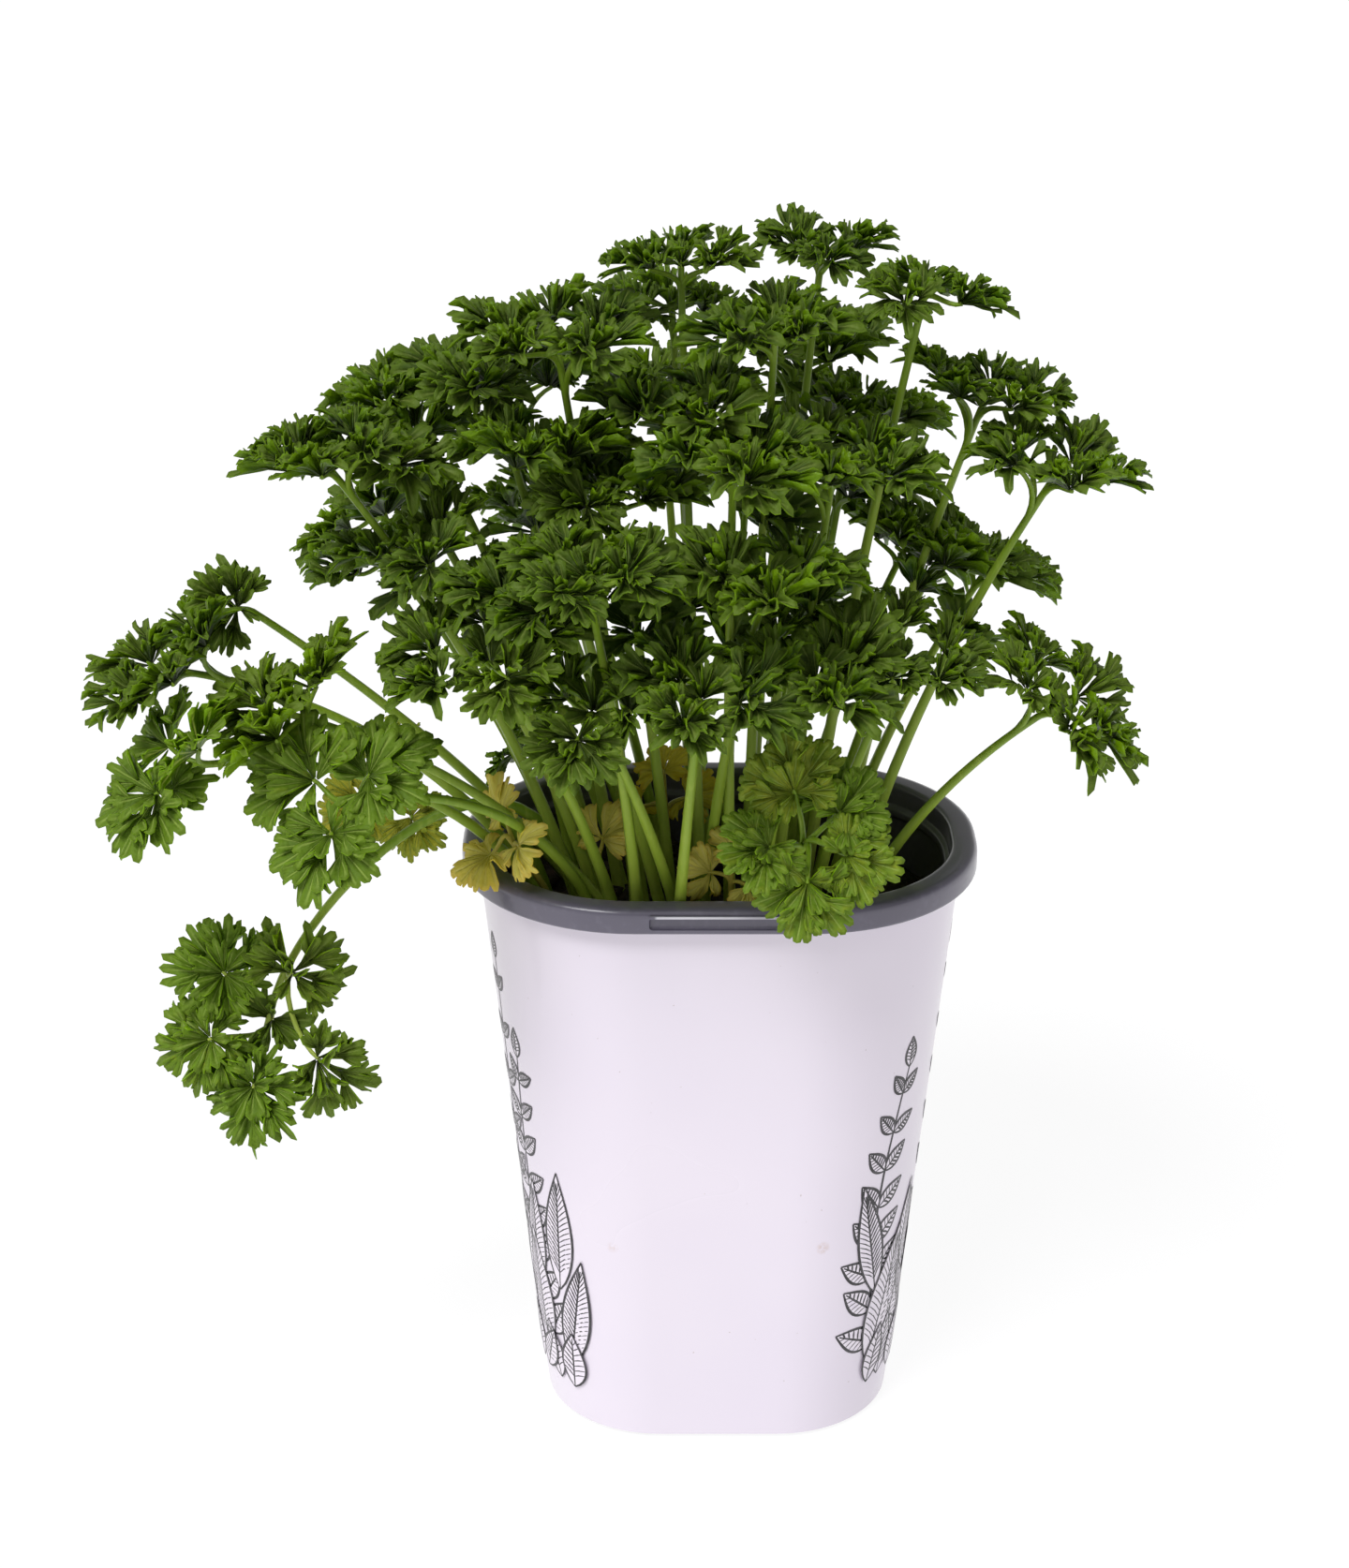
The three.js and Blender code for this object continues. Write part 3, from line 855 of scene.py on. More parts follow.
@dataclass(frozen=True)
class PotShape:
    """The rounded oval plan that the pot, its sleeve and the peat share. Millimetres."""

    height: float = 157.0
    rim_underside: float = 150.5
    foot: tuple[float, float, float] = (45.3, 38.0, 30.0)
    body: tuple[float, float, float] = (60.8, 42.8, 39.8)
    inner_inset: float = 2.4
    floor: float = 1.6
    corner_steps: int = 20
    side_steps: int = 6

    def half(self, z: float) -> tuple[float, float, float]:
        """Half width, half depth and corner radius at a height."""
        t = min(z, self.rim_underside) / self.rim_underside
        return tuple(low + (high - low) * t for low, high in zip(self.foot, self.body))

    def ring(self, z: float, grow: float) -> list[Vector]:
        """Outline at a height.

        Args:
            z: The height.
            grow: How far outside the sleeve's face the outline lies.

        Returns:
            Its points, anticlockwise seen from above.
        """
        half_x, half_y, corner = self.half(z)
        radius = corner + grow
        arcs = []
        for side in range(4):
            centre_x = (half_x - corner) * (1 if side in (0, 3) else -1)
            centre_y = (half_y - corner) * (1 if side < 2 else -1)
            turns = [math.pi / 2 * (side + i / self.corner_steps) for i in range(self.corner_steps + 1)]
            spots = [(centre_x + radius * math.cos(a), centre_y + radius * math.sin(a), z) for a in turns]
            arcs.append([Vector(spot) for spot in spots])
        points = []
        for side, arc in enumerate(arcs):
            points += arc
            following = arcs[(side + 1) % 4][0]
            points += [arc[-1].lerp(following, i / self.side_steps) for i in range(1, self.side_steps)]
        return points

    def reach(self, z: float, grow: float) -> Callable[[float], float]:
        """Measures the outline at a height.

        Args:
            z: The height.
            grow: How far outside the sleeve's face the outline lies.

        Returns:
            A function of an angle in radians, which gives the outline's distance from the axis there.
        """
        points = self.ring(z, grow)
        angles = np.array([math.atan2(point.y, point.x) % math.tau for point in points])
        reaches = np.array([point.xy.length for point in points])
        order = np.argsort(angles)
        angles, reaches = angles[order], reaches[order]
        return lambda angle: float(np.interp(angle % math.tau, angles, reaches, period=math.tau))

    def on_end(self, side: int, along: float, z: float, lift: float) -> Vector:
        """A point on one rounded end of the sleeve.

        Args:
            side: 1 for the end at +X and -1 for the one at -X.
            along: Distance round the end from its middle, positive towards the front.
            z: The height.
            lift: Height over the sleeve's face.

        Returns:
            The point.
        """
        half_x, half_y, corner = self.half(z)
        straight, radius = half_y - corner, corner + lift
        if abs(along) <= straight:
            return Vector((side * (half_x + lift), -along, z))
        angle = (abs(along) - straight) / corner
        forward = -1 if along > 0 else 1
        x = half_x - corner + radius * math.cos(angle)
        return Vector((side * x, forward * (straight + radius * math.sin(angle)), z))


@dataclass
class Pot:
    """The thin-walled pot with its rolled rim, stacking bead, front recess and drain holes."""

    shape: PotShape
    finish: PotPlastic = field(default_factory=PotPlastic)
    rim_overhang: float = 4.2
    wall_inset: float = 0.9
    bead_inset: float = 3.9
    drain_radius: float = 3.5
    drill_depth: float = 12.0
    drain_places: tuple[tuple[float, float], ...] = ((-22, 14), (22, 14), (-22, -14), (22, -14))
    recess_length: float = 35.0
    recess_height: float = 3.2
    recess_depth: float = 1.1
    recess_z: float = 153.4
    lip_height: float = 1.0
    lip_depth: float = 1.1
    lip_overlap: float = 0.2
    bar_rounding: float = 0.42
    sharp_from: float = 38.0

    def section(self) -> list[tuple[float, float]]:
        """Heights and offsets of the wall, from the foot's edge over the rim to the inner floor."""
        under, top, out = self.shape.rim_underside, self.shape.height, self.rim_overhang
        inner = self.shape.inner_inset
        return fillet(
            [
                (0, -self.wall_inset - 1.3, 0),
                (1.3, -self.wall_inset, 0.8),
                (under, -self.wall_inset, 0),
                (under, out, 0.9),
                (top, out, 2.3),
                (top, -inner, 1.5),
                (under + 0.6, -inner, 0.4),
                (under, -self.bead_inset, 0.5),
                (under - 1.8, -self.bead_inset, 0.6),
                (under - 3, -inner, 0.6),
                (self.shape.floor, -inner, 0),
            ]
        )

    def build(self) -> bpy.types.Object:
        """Models and dresses the pot."""
        pot = Bench.skin("pot_shell", [self.shape.ring(z, grow) for z, grow in self.section()])
        for x, y in self.drain_places:
            drill = Bench.start(
                "drain",
                bpy.ops.mesh.primitive_cylinder_add,
                vertices=32,
                radius=self.drain_radius * MM,
                depth=self.drill_depth * MM,
                location=(x * MM, y * MM, 0),
            )
            Bench.cut(pot, drill)
        Bench.cut(pot, self.front_bar("recess", 2 * self.recess_depth, self.recess_height, self.recess_z))
        lip_z = self.recess_z + (self.recess_height + self.lip_height) / 2 - self.lip_overlap
        lip = self.front_bar("lip", self.lip_depth, self.lip_height, lip_z)
        Bench.apply(pot, "BOOLEAN", operation="UNION", solver="EXACT", object=lip)
        Bench.discard([lip])
        pot.data.materials.append(self.finish.material())
        Bench.smooth(pot, self.sharp_from)
        return pot

    def front_bar(self, name: str, depth: float, height: float, z: float) -> bpy.types.Object:
        """A long round-edged bar across the front of the rim, as long as its recess.

        Args:
            name: The new object's name.
            depth: Its size from front to back.
            height: Its height.
            z: Height of its middle.

        Returns:
            The bar.
        """
        front = -(self.shape.body[1] + self.rim_overhang)
        bar = Bench.start(name, bpy.ops.mesh.primitive_cube_add, size=MM, location=(0, front * MM, z * MM))
        bar.scale = (self.recess_length, depth, height)
        Bench.settle(bar)
        width = self.bar_rounding * min(depth, height) * MM
        Bench.apply(bar, "BEVEL", width=width, segments=5, limit_method="ANGLE")
        return bar


@dataclass
class Sleeve:
    """The thin film sleeve round the pot's wall."""

    shape: PotShape
    finish: SleeveFilm = field(default_factory=SleeveFilm)
    bottom: float = 1.2
    top: float = 150.2
    thickness: float = 0.6
    edge: float = 0.2
    steps: int = 14
    sharp_from: float = 40.0

    def build(self) -> bpy.types.Object:
        """Models and dresses the sleeve."""
        rise = self.top - self.bottom
        heights = [self.bottom + rise * i / self.steps for i in range(1, self.steps)]
        outside = [(self.bottom, -self.edge), *((z, 0.0) for z in heights)]
        outside += [(self.top - self.edge, 0.0), (self.top, -self.edge)]
        inside = [(z, -self.thickness) for z in (self.top, self.bottom)]
        rings = [self.shape.ring(z, grow) for z, grow in outside + inside]
        sleeve = Bench.skin("sleeve_wrap", rings, closed=True)
        sleeve.data.materials.append(self.finish.material())
        Bench.smooth(sleeve, self.sharp_from)
        return sleeve


@dataclass(frozen=True)
class Ribbon:
    """A printed strip between two lines of points, given by distance round the sleeve's end and height."""

    left: list[Vector]
    right: list[Vector]
    lift: float
    white: bool = False

    @classmethod
    def stroke(cls, points: list[Vector], width: float, lift: float) -> Ribbon:
        """A drawn line that thins towards its ends.

        Args:
            points: The points along it.
            width: Its width in the middle.
            lift: Its height over the sleeve's face.

        Returns:
            The line as a strip.
        """
        last = len(points) - 1
        left, right = [], []
        for i, point in enumerate(points):
            ahead = (points[min(i + 1, last)] - points[max(i - 1, 0)]).normalized()
            swell = 0.35 + 0.65 * math.sin(math.pi * (0.12 + 0.76 * i / last))
            aside = Vector((-ahead.y, ahead.x)) * width * swell / 2
            left.append(point + aside)
            right.append(point - aside)
        return cls(left, right, lift)


@dataclass
class SleevePrint:
    """Line drawings of made-up leafy sprigs, printed on both rounded ends of the sleeve."""

    shape: PotShape
    ink: PrintInk = field(default_factory=PrintInk)
    lift: float = 0.05
    layer: float = 0.006
    line: float = 0.6
    low: float = 13.0
    lowest: float = 3.0
    # foot, how far the head leans out, head's height and longest leaf
    sprigs: tuple[tuple[float, float, float, float], ...] = (
        (-30, 5, 92, 15),
        (-17, -4, 130, 12),
        (-2, 3, 104, 15),
        (12, -5, 128, 12),
        (27, 2, 108, 14),
    )
    # leaves, height over the low line, length and half width
    leaf_rows: tuple[tuple[int, float, float, float], ...] = (
        (7, 26, 32, 4.6),
        (8, 4, 38, 5.4),
        (12, -2, 17, 4.2),
    )
    row_width: float = 62.0
    row_lean: float = 24.0
    stem_steps: int = 26
    leaf_steps: int = 12
    seed: int = 7

    def build(self) -> bpy.types.Object:
        """Draws both ends and joins the strips in one piece."""
        draw = random.Random(self.seed)
        verts: list[Vector] = []
        faces: list[tuple[int, ...]] = []
        white: list[bool] = []
        for side in (-1, 1):
            for ribbon in self.drawing(draw, side):
                first = len(verts)
                for pair in zip(ribbon.right, ribbon.left):
                    ends = [(end.x, max(end.y, self.lowest)) for end in pair]
                    verts += [self.shape.on_end(side, along, z, ribbon.lift) for along, z in ends]
                for a in range(first, len(verts) - 2, 2):
                    face = (a, a + 1, a + 3, a + 2)
                    faces.append(face if side < 0 else face[::-1])
                    white.append(ribbon.white)
        mesh = bpy.data.meshes.new("sleeve_print")
        mesh.from_pydata([vert * MM for vert in verts], [], faces)
        mesh.materials.append(self.ink.material())
        mesh.materials.append(WHITE_INK.material())
        mesh.polygons.foreach_set("material_index", white)
        return Bench.add("sleeve_print", mesh)

    def drawing(self, draw: random.Random, side: int) -> list[Ribbon]:
        """One end's drawing, from its lowest layer up: tall sprigs, then three rows of broad leaves."""
        strips: list[Ribbon] = []
        for start, reach, top, leaf in self.sprigs:
            foot = Vector((start + draw.uniform(-2, 2), self.low))
            head = Vector((start + reach * side + draw.uniform(-2, 2), top + draw.uniform(-4, 4)))
            strips += self.sprig(draw, foot, head, leaf)
        lift = 2.4 * self.lift
        for count, low, long, wide in self.leaf_rows:
            order = sorted(range(count), key=lambda i: (i % 2, draw.random()))
            for i in order:
                lift += 3 * self.layer
                along = (i / (count - 1) - 0.5) * self.row_width + draw.uniform(-1.5, 1.5)
                lean = math.radians(90 + draw.uniform(-self.row_lean, self.row_lean))
                foot = Vector((along, self.low + low * draw.uniform(0.8, 1.2)))
                length, half = long * draw.uniform(0.8, 1.15), wide * draw.uniform(0.85, 1.15)
                strips += self.leaf(foot, lean, length, half, lift)
        return strips

    def sprig(self, draw: random.Random, foot: Vector, head: Vector, leaf: float) -> list[Ribbon]:
        """One upright stem with pairs of leaves that grow smaller towards its top."""
        bow = draw.uniform(-7, 7)
        steps = self.stem_steps
        chord = head - foot
        aside = Vector((-chord.y, chord.x)).normalized()
        shares = [i / steps for i in range(steps + 1)]
        stem = [foot + chord * t + aside * bow * math.sin(math.pi * t) for t in shares]
        strips = [Ribbon.stroke(stem, 1.3 * self.line, self.lift)]
        for i in range(3, steps + 1, 3):
            size = leaf * (1.1 - 0.62 * i / steps)
            ahead = stem[i] - stem[i - 1]
            along = math.atan2(ahead.y, ahead.x)
            for hand in (-1, 1):
                opening = math.radians(draw.uniform(38, 58)) * hand
                strips += self.leaf(stem[i], along + opening, size, size * 0.24, 1.5 * self.lift)
        return strips + self.leaf(stem[-1], math.pi / 2, leaf * 0.6, leaf * 0.15, 1.5 * self.lift)

    def leaf(self, foot: Vector, angle: float, length: float, half: float, lift: float) -> list[Ribbon]:
        """One pointed oval leaf on a white ground, with its midrib and side veins.

        Args:
            foot: Where its stalk joins.
            angle: The way it points, in radians.
            length: Its length.
            half: Half its width.
            lift: Height of its white ground over the sleeve's face.

        Returns:
            Its strips.
        """
        ahead = Vector((math.cos(angle), math.sin(angle)))
        aside = Vector((-ahead.y, ahead.x))
        steps = self.leaf_steps

        def at(t: float, out: float) -> Vector:
            """A point at a share of the length and a share of the half width."""
            return foot + ahead * length * t + aside * out * half * math.sin(math.pi * t**0.8)

        outs = (-1, -0.5, 0, 0.5, 1) if half > 3 else (-1, 0, 1)
        lines = [[at(i / steps, out) for i in range(steps + 1)] for out in outs]
        over = lift + self.layer
        strips = [Ribbon(left, right, lift, white=True) for right, left in zip(lines, lines[1:])]
        strips += [Ribbon.stroke(edge, 1.3 * self.line, over) for edge in (lines[0], lines[-1])]
        strips.append(Ribbon.stroke([at(i / steps, 0) for i in range(steps)], self.line, over))
        veins = max(7, round(length / 2))
        for i in range(1, veins):
            t = 0.1 + 0.78 * i / veins
            for out in (-1, 1):
                width = self.line * (0.55 if out < 0 else 1.0)
                vein = [at(t, 0), at(t + 0.06, 0.45 * out), at(t + 0.1, 0.88 * out)]
                strips.append(Ribbon.stroke(vein, width, over))
        return strips


@dataclass
class PeatBed:
    """The peat that fills the pot, with a rough crumbly top."""

    shape: PotShape
    finish: Peat = field(default_factory=Peat)
    top: float = 135.0
    mound: float = 3.0
    roughness: float = 0.9
    gap: float = 0.3
    cells: tuple[int, int] = (110, 80)
    crumbs: int = 320
    crumb_size: float = 2.4
    crumb_inset: float = 2.0
    sharp_from: float = 50.0
    seed: int = 3

    def height(self, x: float, y: float) -> float:
        """Height of the peat at a place, as the part's own, with finer lumps over it."""
        outward = math.hypot(x / self.shape.body[0], y / self.shape.body[1])
        rough = math.sin(x * 0.41 + 1.3) * math.cos(y * 0.53)
        lumps = noise.noise(Vector((x, y, 0)) * 0.32) + 0.5 * noise.noise(Vector((x, y, 5)) * 0.8)
        return self.top + self.mound * max(0.0, 1 - outward**2) + self.roughness * rough + lumps

    def build(self) -> bpy.types.Object:
        """Models and dresses the peat."""
        cells = dict(zip(("x_subdivisions", "y_subdivisions"), self.cells))
        bed = Bench.start("peat_bed", bpy.ops.mesh.primitive_grid_add, size=2.0, **cells)
        inset = -(self.shape.inner_inset + self.gap)
        reach = self.shape.reach(self.top, inset)
        for vert in bed.data.vertices:
            a, b = vert.co.x, vert.co.y
            disc = Vector((a * math.sqrt(1 - b * b / 2), b * math.sqrt(1 - a * a / 2)))
            place = disc * reach(math.atan2(disc.y, disc.x))
            vert.co = Vector((*place, self.height(*place))) * MM
        low = self.shape.floor + self.gap
        low_reach = self.shape.reach(low, inset)

        def moved(start: Vector) -> Vector:
            """The point of the root ball's foot in the same direction from the axis."""
            angle = math.atan2(start.y, start.x)
            radius = low_reach(angle)
            return Vector((radius * math.cos(angle), radius * math.sin(angle), low)) * MM

        bpy.ops.object.mode_set(mode="EDIT")
        Bench.pick_open_edges()
        Bench.extrude(bed, moved)
        bpy.ops.mesh.edge_face_add()
        bpy.ops.object.mode_set(mode="OBJECT")
        bed = Bench.join("peat_bed", [bed, self.scattered_crumbs()])
        bed.data.materials.append(self.finish.material())
        Bench.smooth(bed, self.sharp_from)
        return bed

    def scattered_crumbs(self) -> bpy.types.Object:
        """Small rough crumbs scattered over the peat, joined in one object."""
        draw = random.Random(self.seed)
        crumb = Bench.start("crumb", bpy.ops.mesh.primitive_ico_sphere_add, subdivisions=2, radius=1.0)
        for vert in crumb.data.vertices:
            vert.co *= 1 + 0.5 * noise.noise(vert.co * 1.7)
        copies = []
        reach = self.shape.reach(self.top, -(self.shape.inner_inset + self.crumb_inset))
        for _ in range(self.crumbs):
            angle, out = draw.uniform(0, math.tau), math.sqrt(draw.random())
            x, y = (reach(angle) * out * part for part in (math.cos(angle), math.sin(angle)))
            size = draw.uniform(0.5, 1.0) ** 2 * self.crumb_size
            axis = Vector((draw.gauss(0, 1), draw.gauss(0, 1), draw.gauss(0, 1))).normalized()
            turn = Quaternion(axis, draw.uniform(0, 6)).to_matrix().to_4x4()
            spot = Matrix.Translation(Vector((x, y, self.height(x, y) + size * 0.2)) * MM)
            stretch = Matrix.Diagonal((draw.uniform(0.7, 1.4), 1.0, draw.uniform(0.5, 0.9), 1.0))
            copies.append(Bench.copy(crumb, spot @ turn @ stretch @ Matrix.Scale(size * MM, 4)))
        Bench.discard([crumb])
        return Bench.join("crumbs", copies)


# Fronds, as the part's source grows them


DOME_CENTRE = Vector((-10.0, 0.0, 165.0))
SPREADS = {1: (0,), 3: (-112, 0, 112), 5: (-136, -68, 0, 68, 136)}
FAN_MIDDLE = 0.42  # fan radii from a leaflet's foot to its fan's middle
TIP_REACH = 1.1  # fan radii from there to the tip of the middle lobe
SHEET_WAVE = 1.7  # height of the waves in the part's leaf sheets
SHEET_HALF = 0.4  # half the thickness of the part's leaf sheets
ARRIVE_REACH = 0.32  # the stalk's curve handle at the head, as a share of its chord
LEAVE_SHARE = 0.5  # share of its slant by which a stalk leaves the peat more upright
ARRIVE_SHARE = 0.45  # share by which it comes to the head more level
TILT_RATE = 0.008  # a head's tilt over the square of its angle from straight up, in degrees
MOST_TILT = 80.0
SWINGS = 170  # as many as the part's source may try
SWING_SHIFT = 1.1  # how far swing 1 moves a head; later ones grow with their square root
SWING_TURN = (34.0, 2.4)  # most degrees, and radians a swing
SWING_BEND = (0.35, 1.1)  # largest share, and radians a swing
FULL_BEND_SWING = 12  # the swing from which the bend varies in full
GOLDEN_ANGLE = math.pi * (3 - math.sqrt(5))
GOLDEN_SHARE = 0.618034
ROOT_ZONE = (60, 45, 126)  # half width, half depth and height, where a node is all petiole
SAME_POINT = 0.02  # a tip this near a point of the node lies on it
FIT_LIMIT = 0.2  # a plan that misses by more than this is logged
CURLY_DROP = 3.6  # how far a curly leaflet's foot lies under the part's sheet
FLAT_DROP = 0.8


class Habit(Enum):
    """How a frond's leaflets are curled."""

    CRISP = "crisp"
    HEART = "heart"
    OPEN = "open"
    LACY = "lacy"
    OLD = "old"


@dataclass(frozen=True)
class FrondRow:
    """One frond's place and what differs from the usual frond. Millimetres and degrees."""

    name: str
    head: tuple[float, float, float]
    leaflets: int = 3
    fan: float = 12.5
    stalk: float = 8.5
    rise: float = 4.0
    bend: float = 1.0
    climb: float = 0.36
    foot: float = 1.75
    tip: float = 1.1
    turn: float = 0.0
    facing: float | None = None
    tilt: float | None = None
    seed: int = 0
    habit: Habit = Habit.CRISP
    fresh: float = 0.0


def small(name: str, *head: float, **changes: object) -> FrondRow:
    """A frond with three leaflets."""
    return FrondRow(name, head, **changes)


def large(name: str, *head: float, **changes: object) -> FrondRow:
    """A frond with five leaflets on longer stalks."""
    return FrondRow(name, head, **({"leaflets": 5, "fan": 11.5, "stalk": 12.5, "rise": 7.0} | changes))


def old(name: str, *head: float, **changes: object) -> FrondRow:
    """An old yellow leaf."""
    usual = {"fan": 7.5, "stalk": 6.5, "rise": 1.5, "foot": 1.2, "tip": 0.9, "habit": Habit.OLD}
    return FrondRow(name, head, **(usual | changes))


OLD_LEAVES = (
    old("rim_left", -52, -28, 168),
    old("front", 3, -33, 161, fan=6.5, stalk=5, facing=-90, tilt=60),
    old("inner_left", -30, -20, 158, leaflets=1),
    old("middle", -14, 12, 162),
)
OPEN = Habit.OPEN
LACY = Habit.LACY
FRONDS = (
    large("hanging", -113, -24, 116, fan=12, stalk=15.5, bend=1.9, climb=1.15,
          facing=-100, tilt=75, turn=-30, habit=LACY, fresh=0.3),
    small("far_left_1", -113, -16, 222, leaflets=1, fan=10.5, stalk=4, bend=0.45,
          facing=-90, tilt=60, fresh=0.2),
    large("far_left_2", -130, -24, 212, fan=10.5, bend=1.2),
    small("far_left_3", -125, -46, 194, bend=1.5, climb=0.42, habit=OPEN, fresh=0.5),
    small("far_left_4", -102, -46, 206, bend=1.3, turn=-35, fresh=0.25),
    small("far_left_5", -87, -50, 186, bend=1.5, climb=0.45, facing=-110, turn=-30, habit=OPEN, fresh=0.55),
    small("rim_left", -76, -2, 168, fan=9, bend=1.4, climb=0.8, facing=-120, habit=OPEN, fresh=1.2),
    small("low_left", -46, 21, 172, fan=8, stalk=7, habit=OPEN),
    large("over_rim", 20, -57, 180, fan=10, stalk=10, bend=1.3, climb=0.5,
          facing=-90, tilt=60, habit=OPEN, fresh=0.6),
    large("far_right", 79, -20, 198, fan=10.5, bend=1.2, fresh=0.15),
    large("low_front_1", -54, -52, 222, fresh=0.05),
    small("low_front_2", -30, -58, 212),
    small("low_front_3", -5, -64, 217),
    small("low_front_4", 20, -52, 214),
    small("centre_1", -26, -16, 250),
    small("centre_2", 2, -38, 264),
    large("centre_3", -40, -46, 238),
    small("centre_4", 8, -50, 236),
    small("centre_5", -22, -62, 246, fan=11),
    large("centre_6", 24, -24, 262),
    large("left_1", -91, -26, 260, fan=9.5, stalk=10.5),
    small("left_2", -78, 26, 260),
    small("left_3", -80, -4, 255),
    small("left_4", -44, -22, 262),
    small("left_5", -68, -22, 238, fan=11),
    small("left_6", -81, 12, 224),
    small("left_7", -55, 34, 208, fan=9, stalk=7.5),
    large("right_1", 63, 10, 265, fan=9.5, stalk=10.5),
    large("right_2", 78, -10, 252, fan=10.5, stalk=11),
    small("right_3", 30, 22, 240),
    large("right_4", 53, 20, 220),
    small("right_5", 22, -18, 218, fan=10),
    large("right_6", 42, -34, 214, fan=9.5, stalk=10.5),
    large("upper_left_1", -38, -8, 282),
    small("upper_left_2", -8, -22, 274),
    small("upper_left_3", -58, 14, 268),
    small("top_1", -4, 5, 301, fan=9.5, stalk=8),
    small("top_2", 24, 18, 300, fan=9.5, stalk=7.5),
    small("top_3", 12, -12, 288),
    small("top_4", 44, 2, 289, fan=10, stalk=8),
    small("top_5", -12, 28, 284, fan=10),
    large("top_6", 20, 46, 265),
    large("back_1", -52, 52, 254),
    large("back_2", -16, 60, 256),
    large("back_3", 35, 52, 247),
    small("back_4", -86, 56, 222),
    large("back_5", -42, 76, 216),
    large("back_6", 8, 80, 222),
    small("back_7", 50, 70, 208),
    small("back_8", -50, 64, 188, fan=10, stalk=7, bend=1.3),
    small("back_9", 24, 76, 184, bend=1.4, climb=0.45),
    small("back_10", 66, 38, 217),
)


def seeded_draws(seed: int) -> Callable[[], float]:
    """The small generator that the part's source draws its leaflets with."""
    mask = 0xFFFFFFFF
    state = seed

    def draw() -> float:
        """The next number from 0 to 1."""
        nonlocal state
        state = (state + 0x6D2B79F5) & mask
        t = state
        t = ((t ^ (t >> 15)) * (t | 1)) & mask
        t ^= (t + ((t ^ (t >> 7)) * (t | 61) & mask)) & mask
        return ((t ^ (t >> 14)) & mask) / 4294967296

    return draw


def nod(direction: Vector, outward: Vector, angle: float) -> Vector:
    """Turns a direction away from straight up, towards a level direction, by degrees."""
    return Quaternion(UP.cross(outward).normalized(), math.radians(angle)) @ direction


def level(azimuth: float) -> Vector:
    """The level direction at an azimuth in degrees."""
    return Vector((math.cos(math.radians(azimuth)), math.sin(math.radians(azimuth)), 0.0))


@dataclass(frozen=True)
class Leaflet:
    """One leaflet's lengths and tilts in its frond's head."""

    around: float
    stalk: float
    fan: float
    lift: float
    roll: float
    cup: float
    phase: float

    @classmethod
    def drawn(cls, row: FrondRow, around: float, draw: Callable[[], float]) -> Leaflet:
        """Draws a leaflet's numbers in the order in which the part's source draws them."""
        return cls(
            around=math.radians(around + (draw() - 0.5) * 8),
            stalk=row.stalk * (0.88 + 0.24 * draw()),
            fan=row.fan * (0.92 + 0.16 * draw()),
            lift=0.9 * draw() - 0.5,
            roll=0.7 * draw() - 0.35,
            cup=3 * draw() - 2,
            phase=0 if draw() < 0.5 else math.pi,
        )

    def tip(self, rise: float) -> Vector:
        """The end of the middle lobe, in the head's own axes."""
        x = self.stalk + self.fan * (FAN_MIDDLE + TIP_REACH)
        wave = SHEET_WAVE * math.cos(self.phase) + self.cup
        z = rise + self.lift * (x - self.stalk) + TIP_REACH**2 * wave
        return Vector((x * math.cos(self.around), x * math.sin(self.around), z))


